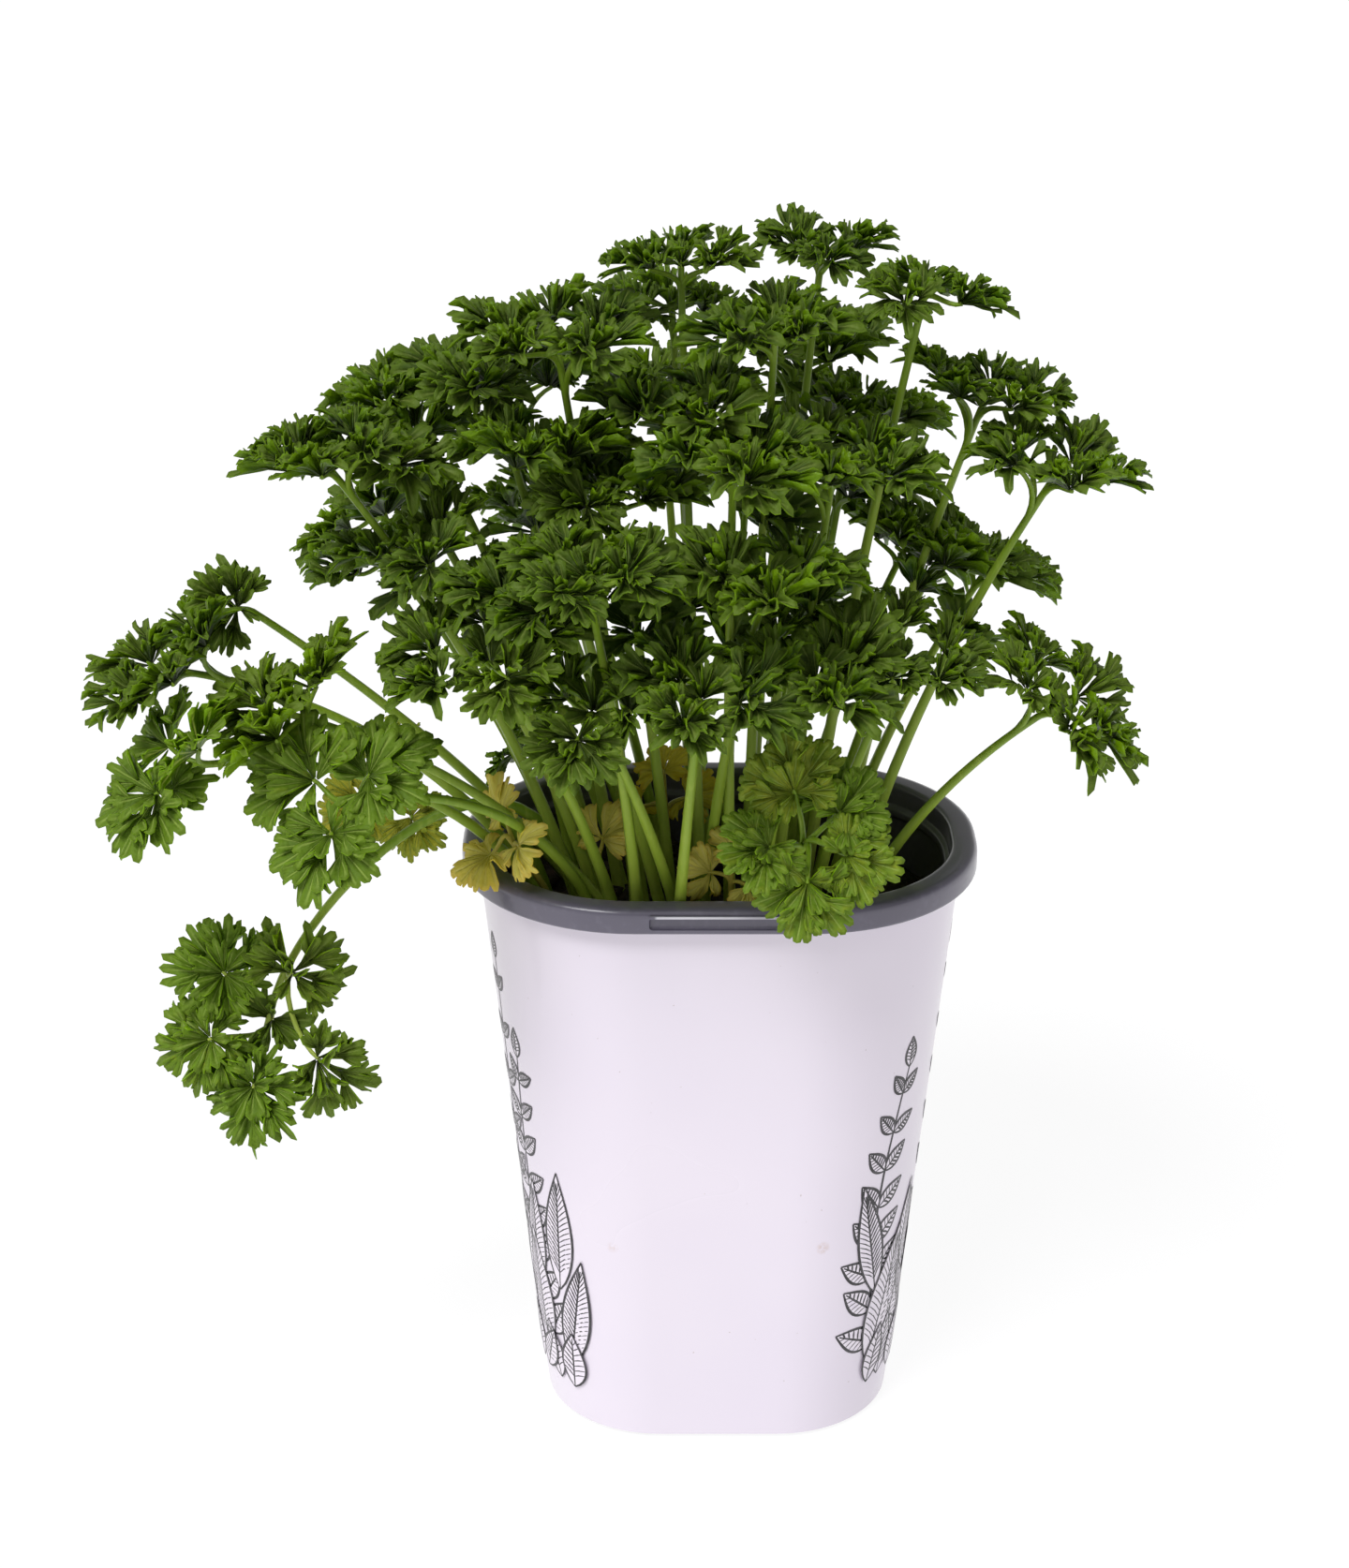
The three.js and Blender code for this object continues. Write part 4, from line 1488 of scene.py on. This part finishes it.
@dataclass(frozen=True)
class FrondPlan:
    """Where a packed frond grows: its stalk's four curve points, its head's axes and its leaflets."""

    row: FrondRow
    stalk: tuple[Vector, Vector, Vector, Vector]
    axes: Matrix
    leaflets: tuple[Leaflet, ...]

    @classmethod
    def read(cls, row: FrondRow, points: np.ndarray) -> FrondPlan:
        """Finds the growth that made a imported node.

        The part's source tries small swings of a frond until it stands clear of the others. The one
        that it took is the one whose leaflet tips lie on points of the node.

        Args:
            row: The frond's listed place.
            points: The node's points in millimetres.

        Returns:
            The plan that fits the node best.
        """
        half_x, half_y, top = ROOT_ZONE
        inside = (points[:, 2] < top) & (np.abs(points[:, 0]) < half_x) & (np.abs(points[:, 1]) < half_y)
        root = Vector(points[inside].mean(axis=0))
        draw = seeded_draws(row.seed)
        leaflets = tuple(Leaflet.drawn(row, around, draw) for around in SPREADS[row.leaflets])
        best, best_miss = None, math.inf
        for step in range(SWINGS):
            plan = cls.swung(row, root, step, leaflets)
            tips = [plan.axes @ (leaflet.tip(row.rise) + UP * SHEET_HALF) for leaflet in leaflets]
            miss = max(float(np.sqrt(((points - np.array(tip)) ** 2).sum(axis=1)).min()) for tip in tips)
            if miss < best_miss:
                best, best_miss = plan, miss
            if miss < SAME_POINT:
                break
        if best_miss > FIT_LIMIT:
            log.warning("%s: nearest growth is %.2f mm off", row.name, best_miss)
        return best

    def before_head(self, distance: float) -> tuple[Vector, Vector]:
        """Finds a place on the stalk.

        Args:
            distance: How far before the head it lies, along the stalk.

        Returns:
            The point, and the way that the stalk runs there.
        """
        a, b, c, d = self.stalk
        share = distance / max((d - c).length * 3, 1.0)
        t = 1 - share
        point = a * (1 - t) ** 3 + b * 3 * t * (1 - t) ** 2 + c * 3 * t * t * (1 - t) + d * t**3
        run = (b - a) * (1 - t) ** 2 + (c - b) * 2 * t * (1 - t) + (d - c) * t * t
        return point, run.normalized()

    @classmethod
    def swung(cls, row: FrondRow, root: Vector, step: int, leaflets: tuple[Leaflet, ...]) -> FrondPlan:
        """The frond as it grows at one of the source's swings.

        Args:
            row: The frond's listed place.
            root: Where its petiole leaves the peat.
            step: The swing's number.
            leaflets: Its leaflets.

        Returns:
            The frond's plan.
        """
        height = 1 - 2 * ((step * GOLDEN_SHARE) % 1)
        out = math.sqrt(1 - height * height)
        around = step * GOLDEN_ANGLE
        ease = min(1.0, step / FULL_BEND_SWING)
        swing = Vector((out * math.cos(around), out * math.sin(around), height))
        shift = swing * (SWING_SHIFT * math.sqrt(step))
        turn = row.turn + SWING_TURN[0] * math.sin(step * SWING_TURN[1])
        bend = row.bend * (1 + SWING_BEND[0] * math.sin(step * SWING_BEND[1]) * ease)
        head = Vector(row.head) + shift
        from_dome = head - DOME_CENTRE
        listed = Vector(row.head) - DOME_CENTRE
        usual_tilt = min(MOST_TILT, TILT_RATE * math.degrees(listed.angle(UP)) ** 2)
        tilt = usual_tilt if row.tilt is None else row.tilt
        outward = Vector((from_dome.x, from_dome.y, 0)).normalized()
        chord = head - root
        length = chord.length
        chord.normalize()
        slant = math.degrees(chord.angle(UP))
        leave = nod(chord, outward, -LEAVE_SHARE * slant * bend)
        arrive = nod(chord, outward, ARRIVE_SHARE * slant * bend)
        face = nod(UP, outward if row.facing is None else level(row.facing), tilt)
        lead = outward + arrive
        ahead = Quaternion(face, math.radians(turn)) @ (lead - face * lead.dot(face)).normalized()
        axes = Matrix((ahead, face.cross(ahead), face)).transposed().to_4x4()
        axes.translation = head
        curve = (root, root + leave * length * row.climb, head - arrive * length * ARRIVE_REACH, head)
        return cls(row, curve, axes, leaflets)


# Curly leaflets


@dataclass(frozen=True)
class Lobe:
    """How one lobe of a leaflet is cut and curled. Millimetres and degrees."""

    heading: float
    length: float
    climb: float
    droop: float
    roll: float = 0.0
    root: tuple[float, float, float] = (0.0, 0.0, 0.0)
    half_angle: float = 19.0
    notches: tuple[float, ...] = (0.56, 0.78, 0.78, 0.56)
    ruffle: float = 0.9
    crimp: float = 1.2
    crumple: float = 1.0
    blunt: float = 0.7
    flare: float = 0.3
    fold: float = 0.4
    keel: float = 0.9
    waist: float = 0.72
    columns: int = 4
    rows: tuple[float, ...] = (0.0, 0.42, 0.76, 1.0)

    @property
    def teeth(self) -> int:
        """Teeth between the lobe's notches, which are shares of its length."""
        return len(self.notches) - 1

    def turned(self) -> Matrix:
        """The lobe's heading and roll as a matrix."""
        heading = Matrix.Rotation(math.radians(self.heading), 4, "Z")
        return heading @ Matrix.Rotation(math.radians(self.roll), 4, "X")

    def spine(self, share: float) -> Vector:
        """The point on the lobe's middle line at a share of its length."""
        radius = share * self.length
        pitch = math.radians(self.climb + (self.droop - self.climb) * share / 2)
        ahead = Vector((radius * math.cos(pitch), 0, radius * math.sin(pitch)))
        return Vector(self.root) + self.turned() @ ahead

    def build(self, draw: random.Random) -> bpy.types.Object:
        """Bends a flat grid into the lobe.

        Args:
            draw: The generator for its small differences.

        Returns:
            The lobe as an open sheet in metres, with its leaf marks.
        """
        grid = Bench.start(
            "lobe",
            bpy.ops.mesh.primitive_grid_add,
            x_subdivisions=self.teeth * self.columns,
            y_subdivisions=len(self.rows) - 1,
            size=2.0,
        )
        waves = [(-1) ** i * draw.uniform(0.5, 1.3) for i in range(self.teeth)]
        reaches = [draw.uniform(0.9, 1.06) for _ in range(self.teeth)]
        shift = draw.uniform(0, math.tau)
        marks = []
        for vert in grid.data.vertices:
            across = (vert.co.x + 1) / 2 * self.teeth
            row = self.rows[round((vert.co.y + 1) / 2 * (len(self.rows) - 1))]
            tooth = min(self.teeth - 1, int(across + 1e-4))
            vert.co, vein = self.bent(across - tooth, tooth, row, waves[tooth], reaches[tooth], shift)
            marks += [vein, row, 0.5, 1.0]
        layer = grid.data.attributes.new(LEAF_MARKS, "FLOAT_COLOR", "POINT")
        layer.data.foreach_set("color", marks)
        bpy.ops.object.mode_set(mode="EDIT")
        bpy.ops.mesh.remove_doubles(threshold=0.02)
        bpy.ops.object.mode_set(mode="OBJECT")
        grid.data.transform(Matrix.Scale(MM, 4) @ Matrix.Translation(self.root) @ self.turned())
        return grid

    def bent(
        self, phase: float, tooth: int, row: float, wave: float, reach: float, shift: float
    ) -> tuple[Vector, float]:
        """Place and vein strength of one point of the lobe.

        Args:
            phase: Place across its tooth, from 0 to 1.
            tooth: The tooth's number.
            row: Place from the foot at 0 to the margin at 1.
            wave: How far the tooth swings off the sheet.
            reach: Its own share of the usual length.
            shift: Where the waves across the lobe start, in radians.

        Returns:
            The point, and 1 on a vein or 0 beside it.
        """
        phase = min(1.0, max(0.0, phase))
        across = (tooth + phase) / self.teeth * 2 - 1
        hump = math.sin(math.pi * phase) ** self.blunt if 0.01 < phase < 0.99 else 0.0
        notch_row = self.rows[-2]
        row = row if hump else min(row, notch_row)
        early, late = min(1.0, row / notch_row), max(0.0, (row - notch_row) / (1 - notch_row))
        envelope = self.length * (0.78 + 0.22 * math.cos(math.radians(80) * across))
        notch = self.notches[tooth] * (1 - phase) + self.notches[tooth + 1] * phase
        radius = 0.8 + envelope * (notch * early + hump * (reach - notch) * late)
        wide = across + (phase - 0.5) * self.flare * late * 2 / self.teeth
        theta = math.radians(self.half_angle) * (self.waist + (1 - self.waist) * early**2) * wide
        pitch = math.radians(self.climb + (self.droop - self.climb) * radius / self.length / 2)
        off = self.ruffle * wave * hump * (0.3 * early**2 + 0.7 * late) + self.fold * (1 - hump) * row
        crimp = self.crimp * math.sin(1.6 * math.pi * across + shift) * row**2
        off += self.keel * abs(2 * phase - 1) * late + crimp
        off += self.crumple * noise.noise(Vector((radius * 0.3, across * 2.2, shift * 5))) * early
        level_out = radius * math.cos(pitch) - off * math.sin(pitch)
        height = radius * math.sin(pitch) + off * math.cos(pitch)
        place = Vector((level_out * math.cos(theta), level_out * math.sin(theta), height))
        return place, float(abs(phase - 0.5) < 0.1)


@dataclass
class LeafletCutter:
    """Models a few leaflets of each habit, which the fronds then copy."""

    blade: dict[Habit, tuple[bpy.types.Material, bpy.types.Material]]
    nominal_fan: float = 12.0
    thickness: float = 0.26
    heart_foot: float = 0.2
    counts: dict[Habit, int] = field(
        default_factory=lambda: {Habit.CRISP: 8, Habit.HEART: 4, Habit.OPEN: 5, Habit.LACY: 4, Habit.OLD: 3}
    )
    seed: int = 40
    patterns: dict[Habit, list[bpy.types.Object]] = field(default_factory=dict)

    def lobes(self, habit: Habit, draw: random.Random) -> list[Lobe]:
        """The lobes of one leaflet.

        Args:
            habit: How the leaflet is curled.
            draw: The generator for its small differences.

        Returns:
            The lobes, outer ones first.
        """

        def near(middle: float, spread: float) -> float:
            """A number within a spread of a middle one."""
            return middle + draw.uniform(-spread, spread)

        def ring(
            places: dict[float, float], turn: float, climb: float, droop: float, roll: float, **rest: object
        ) -> list[Lobe]:
            """Lobes at these headings, with these lengths, each a little different."""
            made = []
            for heading, length in places.items():
                aim, long = near(heading, turn), length * near(1, 0.08)
                made.append(Lobe(aim, long, near(climb, 9), near(droop, 16), near(0, roll), **rest))
            return made

        def forked(lobes: list[Lobe], aside: float, share: float, lift: float, **rest: object) -> list[Lobe]:
            """The same lobes, each with a shorter side lobe on either hand."""
            grown = list(lobes)
            for lobe in lobes:
                for hand in (-1, 1):
                    heading, tilt = lobe.heading + hand * near(aside, 6), near(lift, 12)
                    length, root = lobe.length * share * near(1, 0.1), tuple(lobe.spine(near(0.36, 0.05)))
                    roll = lobe.roll + near(hand * 10, 16)
                    climb, droop = lobe.climb + tilt, lobe.droop + tilt
                    grown.append(Lobe(heading, length, climb, droop, roll, root, **rest))
            return grown

        if habit is Habit.CRISP:
            outer = ring({0: 16.5, 50: 15.5, -50: 15.5, 100: 12.5, -100: 12.5}, 6, 38, -10, 18)
            places = {25: 11.5, -25: 11.5, 78: 11.0, -80: 11.0, 160: 9.5}
            upper = ring(places, 9, 64, 44, 26, half_angle=24)
            return forked(outer, 40, 0.6, 12, half_angle=25) + upper
        if habit is Habit.HEART:
            places = {0: 15.0, 70: 14.0, -70: 14.0, 142: 13.0, -142: 13.0}
            outer = ring(places, 10, 44, 12, 24, half_angle=30)
            upper = ring({35: 11.0, -105: 10.0, 180: 10.0}, 12, 70, 52, 26, half_angle=27)
            return outer + upper
        if habit is Habit.OPEN:
            places = {0: 17.0, 52: 16.0, -52: 16.0, 102: 13.5, -102: 13.5}
            scallops = (0.62, 0.82, 0.86, 0.86, 0.82, 0.62)
            flat = {"ruffle": 0.6, "keel": 0.4, "flare": 0.44, "crimp": 0.9, "waist": 0.8}
            outer = ring(places, 5, 20, -12, 9, half_angle=26, notches=scallops, **flat)
            upper = ring({28: 10.5, -28: 10.5, 150: 8.0}, 9, 46, 26, 18, half_angle=27, **flat)
            return forked(outer, 46, 0.5, 8, half_angle=27, **flat) + upper
        if habit is Habit.LACY:
            places = {0: 17.5, 48: 16.5, -48: 16.5, 98: 15.0, -98: 15.0, 150: 12.5, -150: 12.5}
            cut = {"notches": (0.48, 0.68, 0.68, 0.48), "keel": 0.6, "blunt": 0.85}
            outer = ring(places, 5, 14, -14, 14, half_angle=20, waist=1.05, **cut)
            places = {24: 10.0, -24: 10.0, 74: 9.5, -74: 9.5, 124: 9.0, -124: 9.0, 180: 9.0}
            upper = ring(places, 9, 36, 16, 20, half_angle=25)
            return forked(outer, 38, 0.52, 10, half_angle=25, **cut) + upper
        places = {0: 17.0, 52: 15.5, -52: 15.5, 104: 12.0, -104: 12.0}
        limp = {"notches": (0.6, 0.84, 0.84, 0.84, 0.6), "flare": 0.44, "crimp": 2.0, "keel": 0.4}
        return ring(places, 8, 24, -28, 22, half_angle=29, **limp)

    def prepare(self) -> None:
        """Models the patterns of every habit."""
        for habit, count in self.counts.items():
            self.patterns[habit] = [self.pattern(habit, i) for i in range(count)]

    def pattern(self, habit: Habit, number: int) -> bpy.types.Object:
        """Models one leaflet, with its stalk's end at the origin and its middle lobe along +X.

        Args:
            habit: How the leaflet is curled.
            number: Its number among the patterns of that habit.

        Returns:
            The leaflet.
        """
        draw = random.Random(self.seed + 17 * number + 1000 * list(Habit).index(habit))
        lobes = [lobe.build(draw) for lobe in self.lobes(habit, draw)]
        leaflet = Bench.join(f"leaflet_{habit.value}_{number}", lobes)
        for material in self.blade[habit]:
            leaflet.data.materials.append(material)
        Bench.apply(
            leaflet,
            "SOLIDIFY",
            thickness=self.thickness * MM,
            offset=0.0,
            material_offset=1,
            material_offset_rim=0,
            use_rim=True,
        )
        leaflet.data.shade_smooth()
        return leaflet

    def place(
        self, plan: FrondPlan, leaflet: Leaflet, habit: Habit, draw: random.Random, tint: float
    ) -> bpy.types.Object:
        """Copies a pattern to one leaflet's place.

        Args:
            plan: The frond that it grows on.
            leaflet: The leaflet.
            habit: How it is curled.
            draw: The frond's generator.
            tint: 0 for deep green, 1 for fresh green and up to 2 for yellowed.

        Returns:
            The copy.
        """
        pattern = draw.choice(self.patterns[habit])
        foot = self.heart_foot if habit is Habit.HEART else leaf_foot(plan.row)
        ahead = Vector((1, 0, leaflet.lift)).normalized()
        aside = Vector((0, 1, leaflet.roll)).normalized()
        face = ahead.cross(aside).normalized()
        lean = Matrix((ahead, face.cross(ahead), face)).transposed().to_4x4()
        local = (
            Matrix.Rotation(leaflet.around, 4, "Z")
            @ Matrix.Translation((leaflet.stalk * MM, 0, foot * MM))
            @ lean
            @ Matrix.Rotation(draw.uniform(-0.2, 0.2), 4, "Z")
            @ Matrix.Scale(leaflet.fan / self.nominal_fan, 4)
        )
        axes = plan.axes.copy()
        axes.translation *= MM
        made = Bench.copy(pattern, axes @ local)
        layer = made.data.attributes[LEAF_MARKS].data
        marks = np.empty(len(layer) * 4, np.float32)
        layer.foreach_get("color", marks)
        marks[2::4] = tint
        layer.foreach_set("color", marks)
        return made


def leaf_foot(row: FrondRow) -> float:
    """Height of a leaflet's foot over its head's middle."""
    return row.rise - (CURLY_DROP if row.habit is Habit.CRISP else FLAT_DROP)


@dataclass
class FrondGrower:
    """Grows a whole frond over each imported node: a ribbed stalk, its branches and curly leaflets."""

    cutter: LeafletCutter
    stalks: dict[bool, bpy.types.Material]
    ribs: int = 5
    groove: float = 0.86
    fork_behind: float = 13.0
    stalk_steps: int = 26
    branch_steps: int = 8
    heart_size: float = 0.78
    heart_tint: float = 0.8
    inner_above: float = 246.0
    inner_size: float = 1.05
    inner_below_head: tuple[float, float] = (30.0, 52.0)
    inner_lean: float = 30.0
    lowest: float = 165.0
    highest: float = 310.0
    base_tint: float = 0.12
    low_tint: float = 0.3
    tint_spread: tuple[float, float] = (-0.14, 0.2)
    most_tint: float = 2.0

    def __post_init__(self) -> None:
        """Draws the ribbed section that every stalk is swept with."""
        count = self.ribs * 2
        section = bpy.data.curves.new("stalk_section", "CURVE")
        section.dimensions = "2D"
        spline = section.splines.new("POLY")
        spline.points.add(count - 1)
        for i, point in enumerate(spline.points):
            angle = math.tau * i / count
            radius = (1.0 if i % 2 == 0 else self.groove) * MM
            point.co = (radius * math.cos(angle), radius * math.sin(angle), 0, 1)
        spline.use_cyclic_u = True
        self.section = Bench.add("stalk_section", section)

    def tint(self, row: FrondRow, draw: random.Random) -> float:
        """How fresh a leaflet's green is: more so low down and on the open leaves."""
        low = 1 - (row.head[2] - self.lowest) / (self.highest - self.lowest)
        usual = self.base_tint + self.low_tint * max(0.0, low) + row.fresh
        return max(0.0, min(self.most_tint, usual + draw.uniform(*self.tint_spread)))

    def stalk_curves(self, plan: FrondPlan) -> bpy.types.Object:
        """The frond's stalk and its branches, as one mesh with its leaf marks."""
        row = plan.row
        curve = bpy.data.curves.new("stalks", "CURVE")
        curve.dimensions = "3D"
        curve.bevel_mode = "OBJECT"
        curve.bevel_object = self.section
        curve.use_fill_caps = True
        routes = [(plan.stalk, row.foot, row.tip * 0.82, self.stalk_steps)]
        for leaflet in plan.leaflets:
            behind = self.fork_behind * (1 - math.cos(leaflet.around)) / 2 * leaflet.stalk / 12
            fork, along = plan.before_head(behind)
            turn = Matrix.Rotation(leaflet.around, 4, "Z")
            end = plan.axes @ (turn @ Vector((leaflet.stalk + 0.8, 0, leaf_foot(row) + 0.3)))
            before = plan.axes @ (turn @ Vector((leaflet.stalk * 0.62, 0, leaf_foot(row) - 1.6)))
            reach = (end - fork).length
            inner = (fork - along * 0.5, fork + along * reach * 0.42, before, end)
            routes.append((inner, row.tip * 0.78, row.tip * 0.5, self.branch_steps))
        for points, start, end, steps in routes:
            spline = curve.splines.new("BEZIER")
            spline.bezier_points.add(1)
            spline.resolution_u = steps
            first, last = spline.bezier_points
            for point in (first, last):
                point.handle_left_type = point.handle_right_type = "FREE"
            first.co, first.handle_right, first.radius = points[0] * MM, points[1] * MM, start
            first.handle_left = points[0] * MM
            last.co, last.handle_left, last.radius = points[3] * MM, points[2] * MM, end
            last.handle_right = points[3] * MM
        Bench.take(Bench.add("stalks", curve))
        bpy.ops.object.convert(target="MESH")
        stalks = bpy.context.object
        self.mark_stalks(stalks, plan)
        stalks.data.materials.append(self.stalks[row.habit is Habit.OLD])
        stalks.data.shade_smooth()
        return stalks

    def mark_stalks(self, stalks: bpy.types.Object, plan: FrondPlan) -> None:
        """Writes how far along the stalk each point lies, and the frond's tint."""
        count = len(stalks.data.vertices)
        place = np.empty(count * 3)
        stalks.data.vertices.foreach_get("co", place)
        heights = place.reshape(-1, 3)[:, 2] / MM
        foot, head = plan.stalk[0].z, max(plan.stalk[3].z, plan.stalk[0].z + 40)
        marks = np.ones((count, 4), np.float32)
        marks[:, 0] = 0.0
        marks[:, 1] = np.clip((heights - foot) / (head - foot), 0, 1)
        marks[:, 2] = random.Random(plan.row.seed).uniform(0.3, 1.0)
        layer = stalks.data.attributes.new(LEAF_MARKS, "FLOAT_COLOR", "POINT")
        layer.data.foreach_set("color", marks.ravel())

    def inner_leaf(self, plan: FrondPlan, draw: random.Random) -> bpy.types.Object:
        """A small deep green leaf on a tall frond's stalk, inside the tuft.

        Args:
            plan: Where the frond grows.
            draw: The frond's generator.

        Returns:
            The leaf.
        """
        point, _ = plan.before_head(draw.uniform(*self.inner_below_head))
        across = UP.cross(plan.axes.to_translation() - DOME_CENTRE)
        axes = Matrix.Rotation(math.radians(self.inner_lean), 4, across) @ plan.axes
        axes.translation = point
        around, size = draw.uniform(-math.pi, math.pi), self.inner_size * plan.row.fan
        leaf = Leaflet(around, 1.0, size, draw.uniform(-0.2, 0.2), 0.0, 0.0, 0.0)
        return self.cutter.place(replace(plan, axes=axes), leaf, Habit.HEART, draw, 0.0)

    def grow(self, plan: FrondPlan) -> bpy.types.Object:
        """Grows one frond.

        Args:
            plan: Where it grows.

        Returns:
            The frond as one object.
        """
        draw = random.Random(plan.row.seed * 7 + 1)
        parts = [self.stalk_curves(plan)]
        habit = plan.row.habit
        for leaflet in plan.leaflets:
            by_stalk = habit is Habit.LACY and abs(leaflet.around) > math.pi / 2
            kind = Habit.CRISP if by_stalk else habit
            parts.append(self.cutter.place(plan, leaflet, kind, draw, self.tint(plan.row, draw)))
        if habit in (Habit.CRISP, Habit.LACY) and len(plan.leaflets) > 1:
            size = self.heart_size * plan.row.fan
            middle = Leaflet(math.pi, 0.5, size, draw.uniform(-0.2, 0.2), 0.0, 0.0, 0.0)
            tint = self.tint(plan.row, draw) * self.heart_tint
            parts.append(self.cutter.place(plan, middle, Habit.HEART, draw, tint))
        if plan.row.head[2] > self.inner_above:
            parts.append(self.inner_leaf(plan, draw))
        return Bench.join(f"curly_{plan.row.name}", parts)


@dataclass
class Tuft:
    """All the fronds and old leaves."""

    nodes: dict[str, bpy.types.Object]

    def node_points(self, name: str) -> np.ndarray:
        """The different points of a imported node, in millimetres."""
        mesh = self.nodes[name].data
        place = np.empty(len(mesh.vertices) * 3)
        mesh.vertices.foreach_get("co", place)
        return np.unique(np.round(place.reshape(-1, 3) / MM, 4), axis=0)

    def rows(self) -> list[FrondRow]:
        """Every row with its node's name and seed, as the part's source gives them."""
        listed = []
        for prefix, first_seed, table in (("old_leaf", 201, OLD_LEAVES), ("frond", 11, FRONDS)):
            for i, row in enumerate(table):
                listed.append(replace(row, name=f"{prefix}_{row.name}", seed=first_seed + i))
        return listed

    def build(self) -> list[bpy.types.Object]:
        """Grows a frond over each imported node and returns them."""
        curly = (GREEN_BLADE.material(), GREEN_UNDERSIDE.material())
        flat = (FLAT_BLADE.material(), FLAT_UNDERSIDE.material())
        yellow = (YELLOW_BLADE.material(), YELLOW_UNDERSIDE.material())
        cutter = LeafletCutter(
            {Habit.CRISP: curly, Habit.HEART: curly, Habit.OPEN: flat, Habit.LACY: flat, Habit.OLD: yellow}
        )
        cutter.prepare()
        grower = FrondGrower(cutter, {False: GREEN_STALK.material(), True: YELLOW_STALK.material()})
        grown = []
        for row in self.rows():
            if row.name not in self.nodes:
                log.warning("%s isn't in the frame", row.name)
                continue
            plan = FrondPlan.read(row, self.node_points(row.name))
            frond = grower.grow(plan)
            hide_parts(row.name)
            grown.append(frond)
        Bench.discard([grower.section, *(one for kind in cutter.patterns.values() for one in kind)])
        return grown


# Studio


@dataclass
class Studio:
    """The camera at the photograph's viewing angle, soft light and a pale floor."""

    camera_place: tuple[float, float, float] = (-11.4, -722.0, 478.0)
    looks_down: float = 23.1
    focal_pixels: float = 3328.0
    picture_height: float = 1674.0
    sensor: float = 36.0
    key_from: tuple[float, float, float] = (-0.35, -0.45, 0.82)
    key_strength: float = 2.3
    key_width: float = 28.0
    sky_strength: float = 0.3
    horizon_strength: float = 1.0
    horizon_height: tuple[float, float] = (0.08, 0.26)
    floor_size: float = 24.0

    def set_camera(self) -> None:
        """Makes the camera."""
        data = bpy.data.cameras.new("camera")
        data.sensor_width = self.sensor
        data.lens = self.sensor * self.focal_pixels / self.picture_height
        data.clip_start, data.clip_end = 0.01, 50.0
        camera = Bench.add("camera", data)
        camera.location = Vector(self.camera_place) * MM
        camera.rotation_euler = (math.radians(90 - self.looks_down), 0, 0)
        bpy.context.scene.camera = camera

    def light(self) -> None:
        """Sets the wide key light, the sky, which is brighter low down, and the display's plain colours."""
        data = bpy.data.lights.new("key_light", "SUN")
        data.energy, data.angle = self.key_strength, math.radians(self.key_width)
        key = Bench.add("key_light", data)
        key.rotation_euler = Vector(self.key_from).to_track_quat("Z", "Y").to_euler()
        world = bpy.data.worlds.new("studio_sky")
        world.use_nodes = True
        tree = world.node_tree
        parts, fade = tree.nodes.new("ShaderNodeSeparateXYZ"), tree.nodes.new("ShaderNodeMapRange")
        fade.interpolation_type = "SMOOTHSTEP"
        low, high = self.horizon_height
        limits = {"From Min": low, "From Max": high}
        limits |= {"To Min": self.horizon_strength, "To Max": self.sky_strength}
        for socket, value in limits.items():
            fade.inputs[socket].default_value = value
        tree.links.new(tree.nodes.new("ShaderNodeTexCoord").outputs["Generated"], parts.inputs[0])
        tree.links.new(parts.outputs["Z"], fade.inputs["Value"])
        tree.links.new(fade.outputs[0], tree.nodes["Background"].inputs["Strength"])
        tree.nodes["Background"].inputs["Color"].default_value = (1.0, 1.0, 1.0, 1.0)
        bpy.context.scene.world = world
        bpy.context.scene.view_settings.view_transform = "Standard"

    def lay_floor(self) -> None:
        """Lays the floor under the pot."""
        floor = Bench.start("studio_floor", bpy.ops.mesh.primitive_plane_add, size=self.floor_size)
        floor.data.materials.append(StudioFloor().material())


def main() -> None:
    """Builds the scene, and logs and measures its pieces."""
    logging.basicConfig(level=logging.INFO, format="%(message)s")
    for thing in list(bpy.data.objects):
        bpy.data.objects.remove(thing)
    studio = Studio()
    studio.set_camera()
    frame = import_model()
    studio.light()
    studio.lay_floor()
    shape = PotShape()
    pieces = []
    for maker, nodes, slot in (
        (Pot(shape), ["pot"], "pot_plastic"),
        (Sleeve(shape), ["sleeve"], "sleeve_film"),
        (SleevePrint(shape), [], "sleeve_film"),
        (PeatBed(shape), ["soil"], "peat"),
    ):
        piece = maker.build()
        if nodes:
            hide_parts(*nodes)
        pieces.append(piece)
    pieces += Tuft(frame["nodes"]).build()
    total = 0
    for piece in pieces:
        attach(piece, BODY)
        triangles = sum(len(face.vertices) - 2 for face in piece.data.polygons)
        total += triangles
        log.info("%s: %d triangles", piece.name, triangles)
    log.info("%d pieces, %d triangles", len(pieces), total)


if __name__ == "__main__":
    main()
